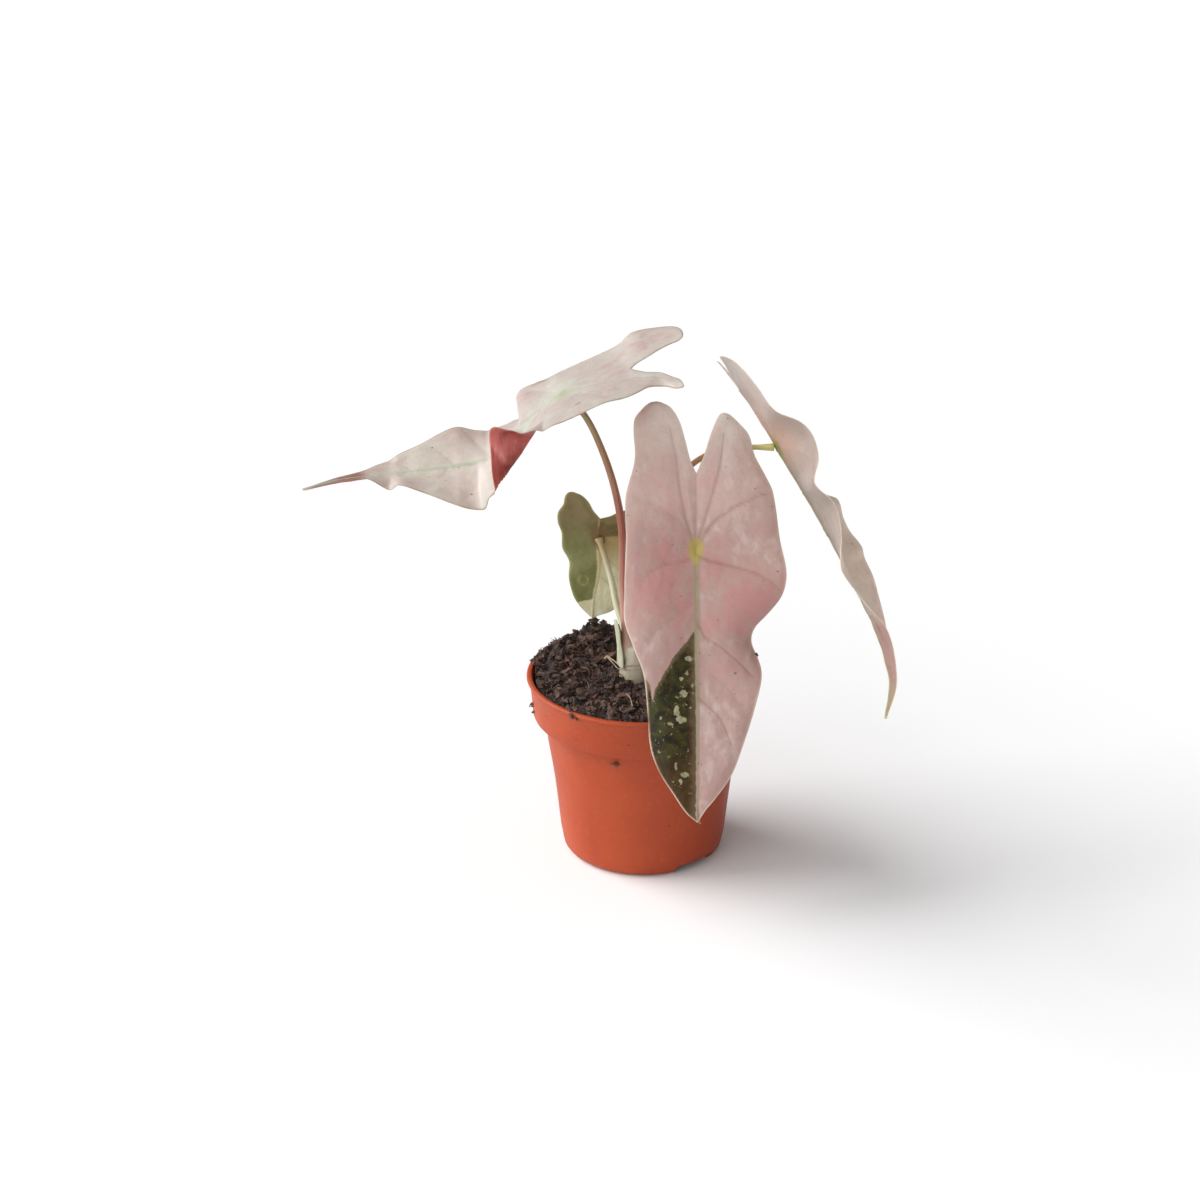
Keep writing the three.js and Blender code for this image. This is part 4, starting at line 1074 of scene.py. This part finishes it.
def drain_holes(target):
    """Cuts a round hole through the ceiling of each notch."""
    for direction in NOTCH_DIRECTIONS:
        cutter_mesh = bpy.data.meshes.new("cutter")
        shape = bmesh.new()
        centre = Matrix.Translation(Vector(around(HOLE_AT, math.radians(direction), 3.2)) * MM)
        bmesh.ops.create_cone(shape, cap_ends=True, segments=48, radius1=HOLE_RADIUS * MM,
                              radius2=HOLE_RADIUS * MM, depth=3 * MM, matrix=centre)
        shape.to_mesh(cutter_mesh)
        shape.free()
        cutter = add_object("cutter", cutter_mesh)
        cut = target.modifiers.new("drain", "BOOLEAN")
        cut.object = cutter
        cut.operation = "DIFFERENCE"
        cut.solver = "EXACT"
        bpy.context.view_layer.update()
        cut_target = target.evaluated_get(bpy.context.evaluated_depsgraph_get())
        result = bpy.data.meshes.new_from_object(cut_target)
        target.modifiers.clear()
        target.data = result
        bpy.data.objects.remove(cutter)


drain_holes(pot)


def on_pot(degrees, height, out=0.0):
    """A point on the pot's outside, or out from it."""
    outside = POT_PROFILE[:FIRST_INNER]
    radius = float(np.interp(height, [h for _, h in outside], [r for r, _ in outside])) + out
    return around(radius, math.radians(degrees), height)


# Bits of soil placed one by one on the pot: direction, height, how far out, size
POT_BITS = [
    (-170.2, 45.7, 0.1, 0.6), (-169.4, 43.4, 0.1, 0.5), (-171.5, 44.6, 0, 0.4), (-131.3, 52.7, 0.1, 0.9),
    (-129.6, 52.5, 0.1, 0.7), (-127.4, 52.2, 0.2, 0.9), (-124.6, 51.6, 0.1, 0.6), (-133, 52.9, -0.6, 0.8),
    (-128.5, 52.9, -0.8, 0.9), (-109.6, 52.8, 0, 0.35), (-106.4, 37.6, 0.2, 0.7), (-73.2, 17, 0, 0.22),
    (-150, 47, 0, 0.16), (-98, 45.6, 0, 0.2), (-118, 30, 0, 0.13), (157.8, 53.1, 0.2, 0.8),
    (155.5, 53.3, -0.5, 0.6), (142, 53.2, 0, 0.8), (139.5, 53.4, -0.6, 0.6), (20.5, 52.9, 0.3, 0.7),
    (60, 52.9, -0.4, 0.4), (95, 52.9, -0.5, 0.6), (-20, 52.8, -0.3, 0.35), (-144, 52.9, -0.9, 0.5),
    (-161, 52.9, -0.9, 0.6), (-151, 52.9, -0.7, 0.35)]
bits = [(on_pot(degrees, height, out), size) for degrees, height, out, size in POT_BITS]
draw = random.Random(31)
for count, sector, out, size in (
        (70, (95, 172), (-1.6, -0.1), (0.35, 0.9)), (80, (126, 168), (-0.3, 0.9), (0.3, 0.7)),
        (45, (90, 126), (-0.5, 0.6), (0.4, 0.8))):
    bits += [(on_pot(draw.uniform(*sector), LIP_TOP, draw.uniform(*out)), draw.uniform(*size))
             for _ in range(count)]
crumbs_at("pot_crumbs", bits, 23, crumb_skin, 2)

vertices, faces = [], []
for degrees, height, count, length in ((-106.4, 37.6, 7, 1.5), (-129, 52.6, 6, 1.3), (-170, 45, 6, 1.2),
                                       (157, 53.2, 4, 1.5), (141, 53.4, 5, 1.8), (-109.6, 52.9, 3, 0.9)):
    for _ in range(count):
        start = Vector(on_pot(degrees, height, 0.1))
        outward = Vector((start.x, start.y, 0)).normalized()
        heading = (0.7 * outward + Vector([draw.gauss(0, reach) for reach in (1, 1, 0.8)])).normalized()
        if heading.dot(outward) < 0 and height < 50:
            heading -= 2 * heading.dot(outward) * outward
        bend = Vector([draw.gauss(0, 0.25) for _ in range(3)])
        path = [start + length * k / 4 * (heading + bend * k / 4) for k in range(5)]
        join_tube(vertices, faces, path, BRISTLE_RADII)
make_piece("pot_bristles", vertices, faces, [fibre_skin])

crumbs_at("tip_crumb", [((14.5, -46.0, 30.4), 0.45), ((14.9, -46.1, 29.9), 0.3)], 3,
          thread_skin, 2)
margin = blade_row(FRONT_BLADE, FRONT_BLADE["right"], 1, 28.3, 2)[0][-1]
crumbs_at("margin_crumb", [(margin, 0.5), (margin + (0.4, 0, -0.5), 0.3)], 9, crumb_skin, 2)

# Floor, light and camera

FLOOR_CORNERS = [(-6, -6, 0), (6, -6, 0), (6, 8, 0), (-6, 8, 0)]
CAMERA_TILT = 24.5

floor_shader = Shader("floor_skin", "Object")
floor_colour = floor_shader.mix(floor_shader.noise(6, 2), srgb(238, 238, 238), srgb(241, 241, 241))
floor_material = floor_shader.finish(floor_colour, 0.9)
mesh = bpy.data.meshes.new("floor")
mesh.from_pydata(FLOOR_CORNERS, [], [(0, 1, 2, 3)])
mesh.materials.append(floor_material)
floor = add_object("floor", mesh)

scene = bpy.context.scene
scene.view_settings.view_transform = "Standard"
scene.view_settings.look = "None"
world = bpy.data.worlds.new("studio")
world.use_nodes = True
world.node_tree.nodes["Background"].inputs["Color"].default_value = (1, 1, 1, 1)
world.node_tree.nodes["Background"].inputs["Strength"].default_value = 0.3
scene.world = world


def add_light(name, kind, energy, at, towards, **settings):
    light = bpy.data.lights.new(name, kind)
    light.energy = energy
    for key, value in settings.items():
        setattr(light, key, value)
    lamp = add_object(name, light)
    lamp.location = Vector(at)
    lamp.rotation_euler = (Vector(towards) - Vector(at)).to_track_quat("-Z", "Y").to_euler()


add_light("key", "SUN", 3.65, (-1.0, 0.25, 0.67), (0, 0, 0), angle=math.radians(50))
add_light("side_fill", "SUN", 2.0, (-0.6, -0.72, 0.4), (0, 0, 0), angle=math.radians(80))

camera_data = bpy.data.cameras.new("camera")
camera_data.sensor_width = 36
camera_data.lens = 118.8
camera_data.clip_end = 30
camera = add_object("camera", camera_data)
camera.location = (-0.012083, -0.992606, 0.527288)
camera.rotation_euler = (math.radians(90 - CAMERA_TILT), 0, 0)
scene.camera = camera
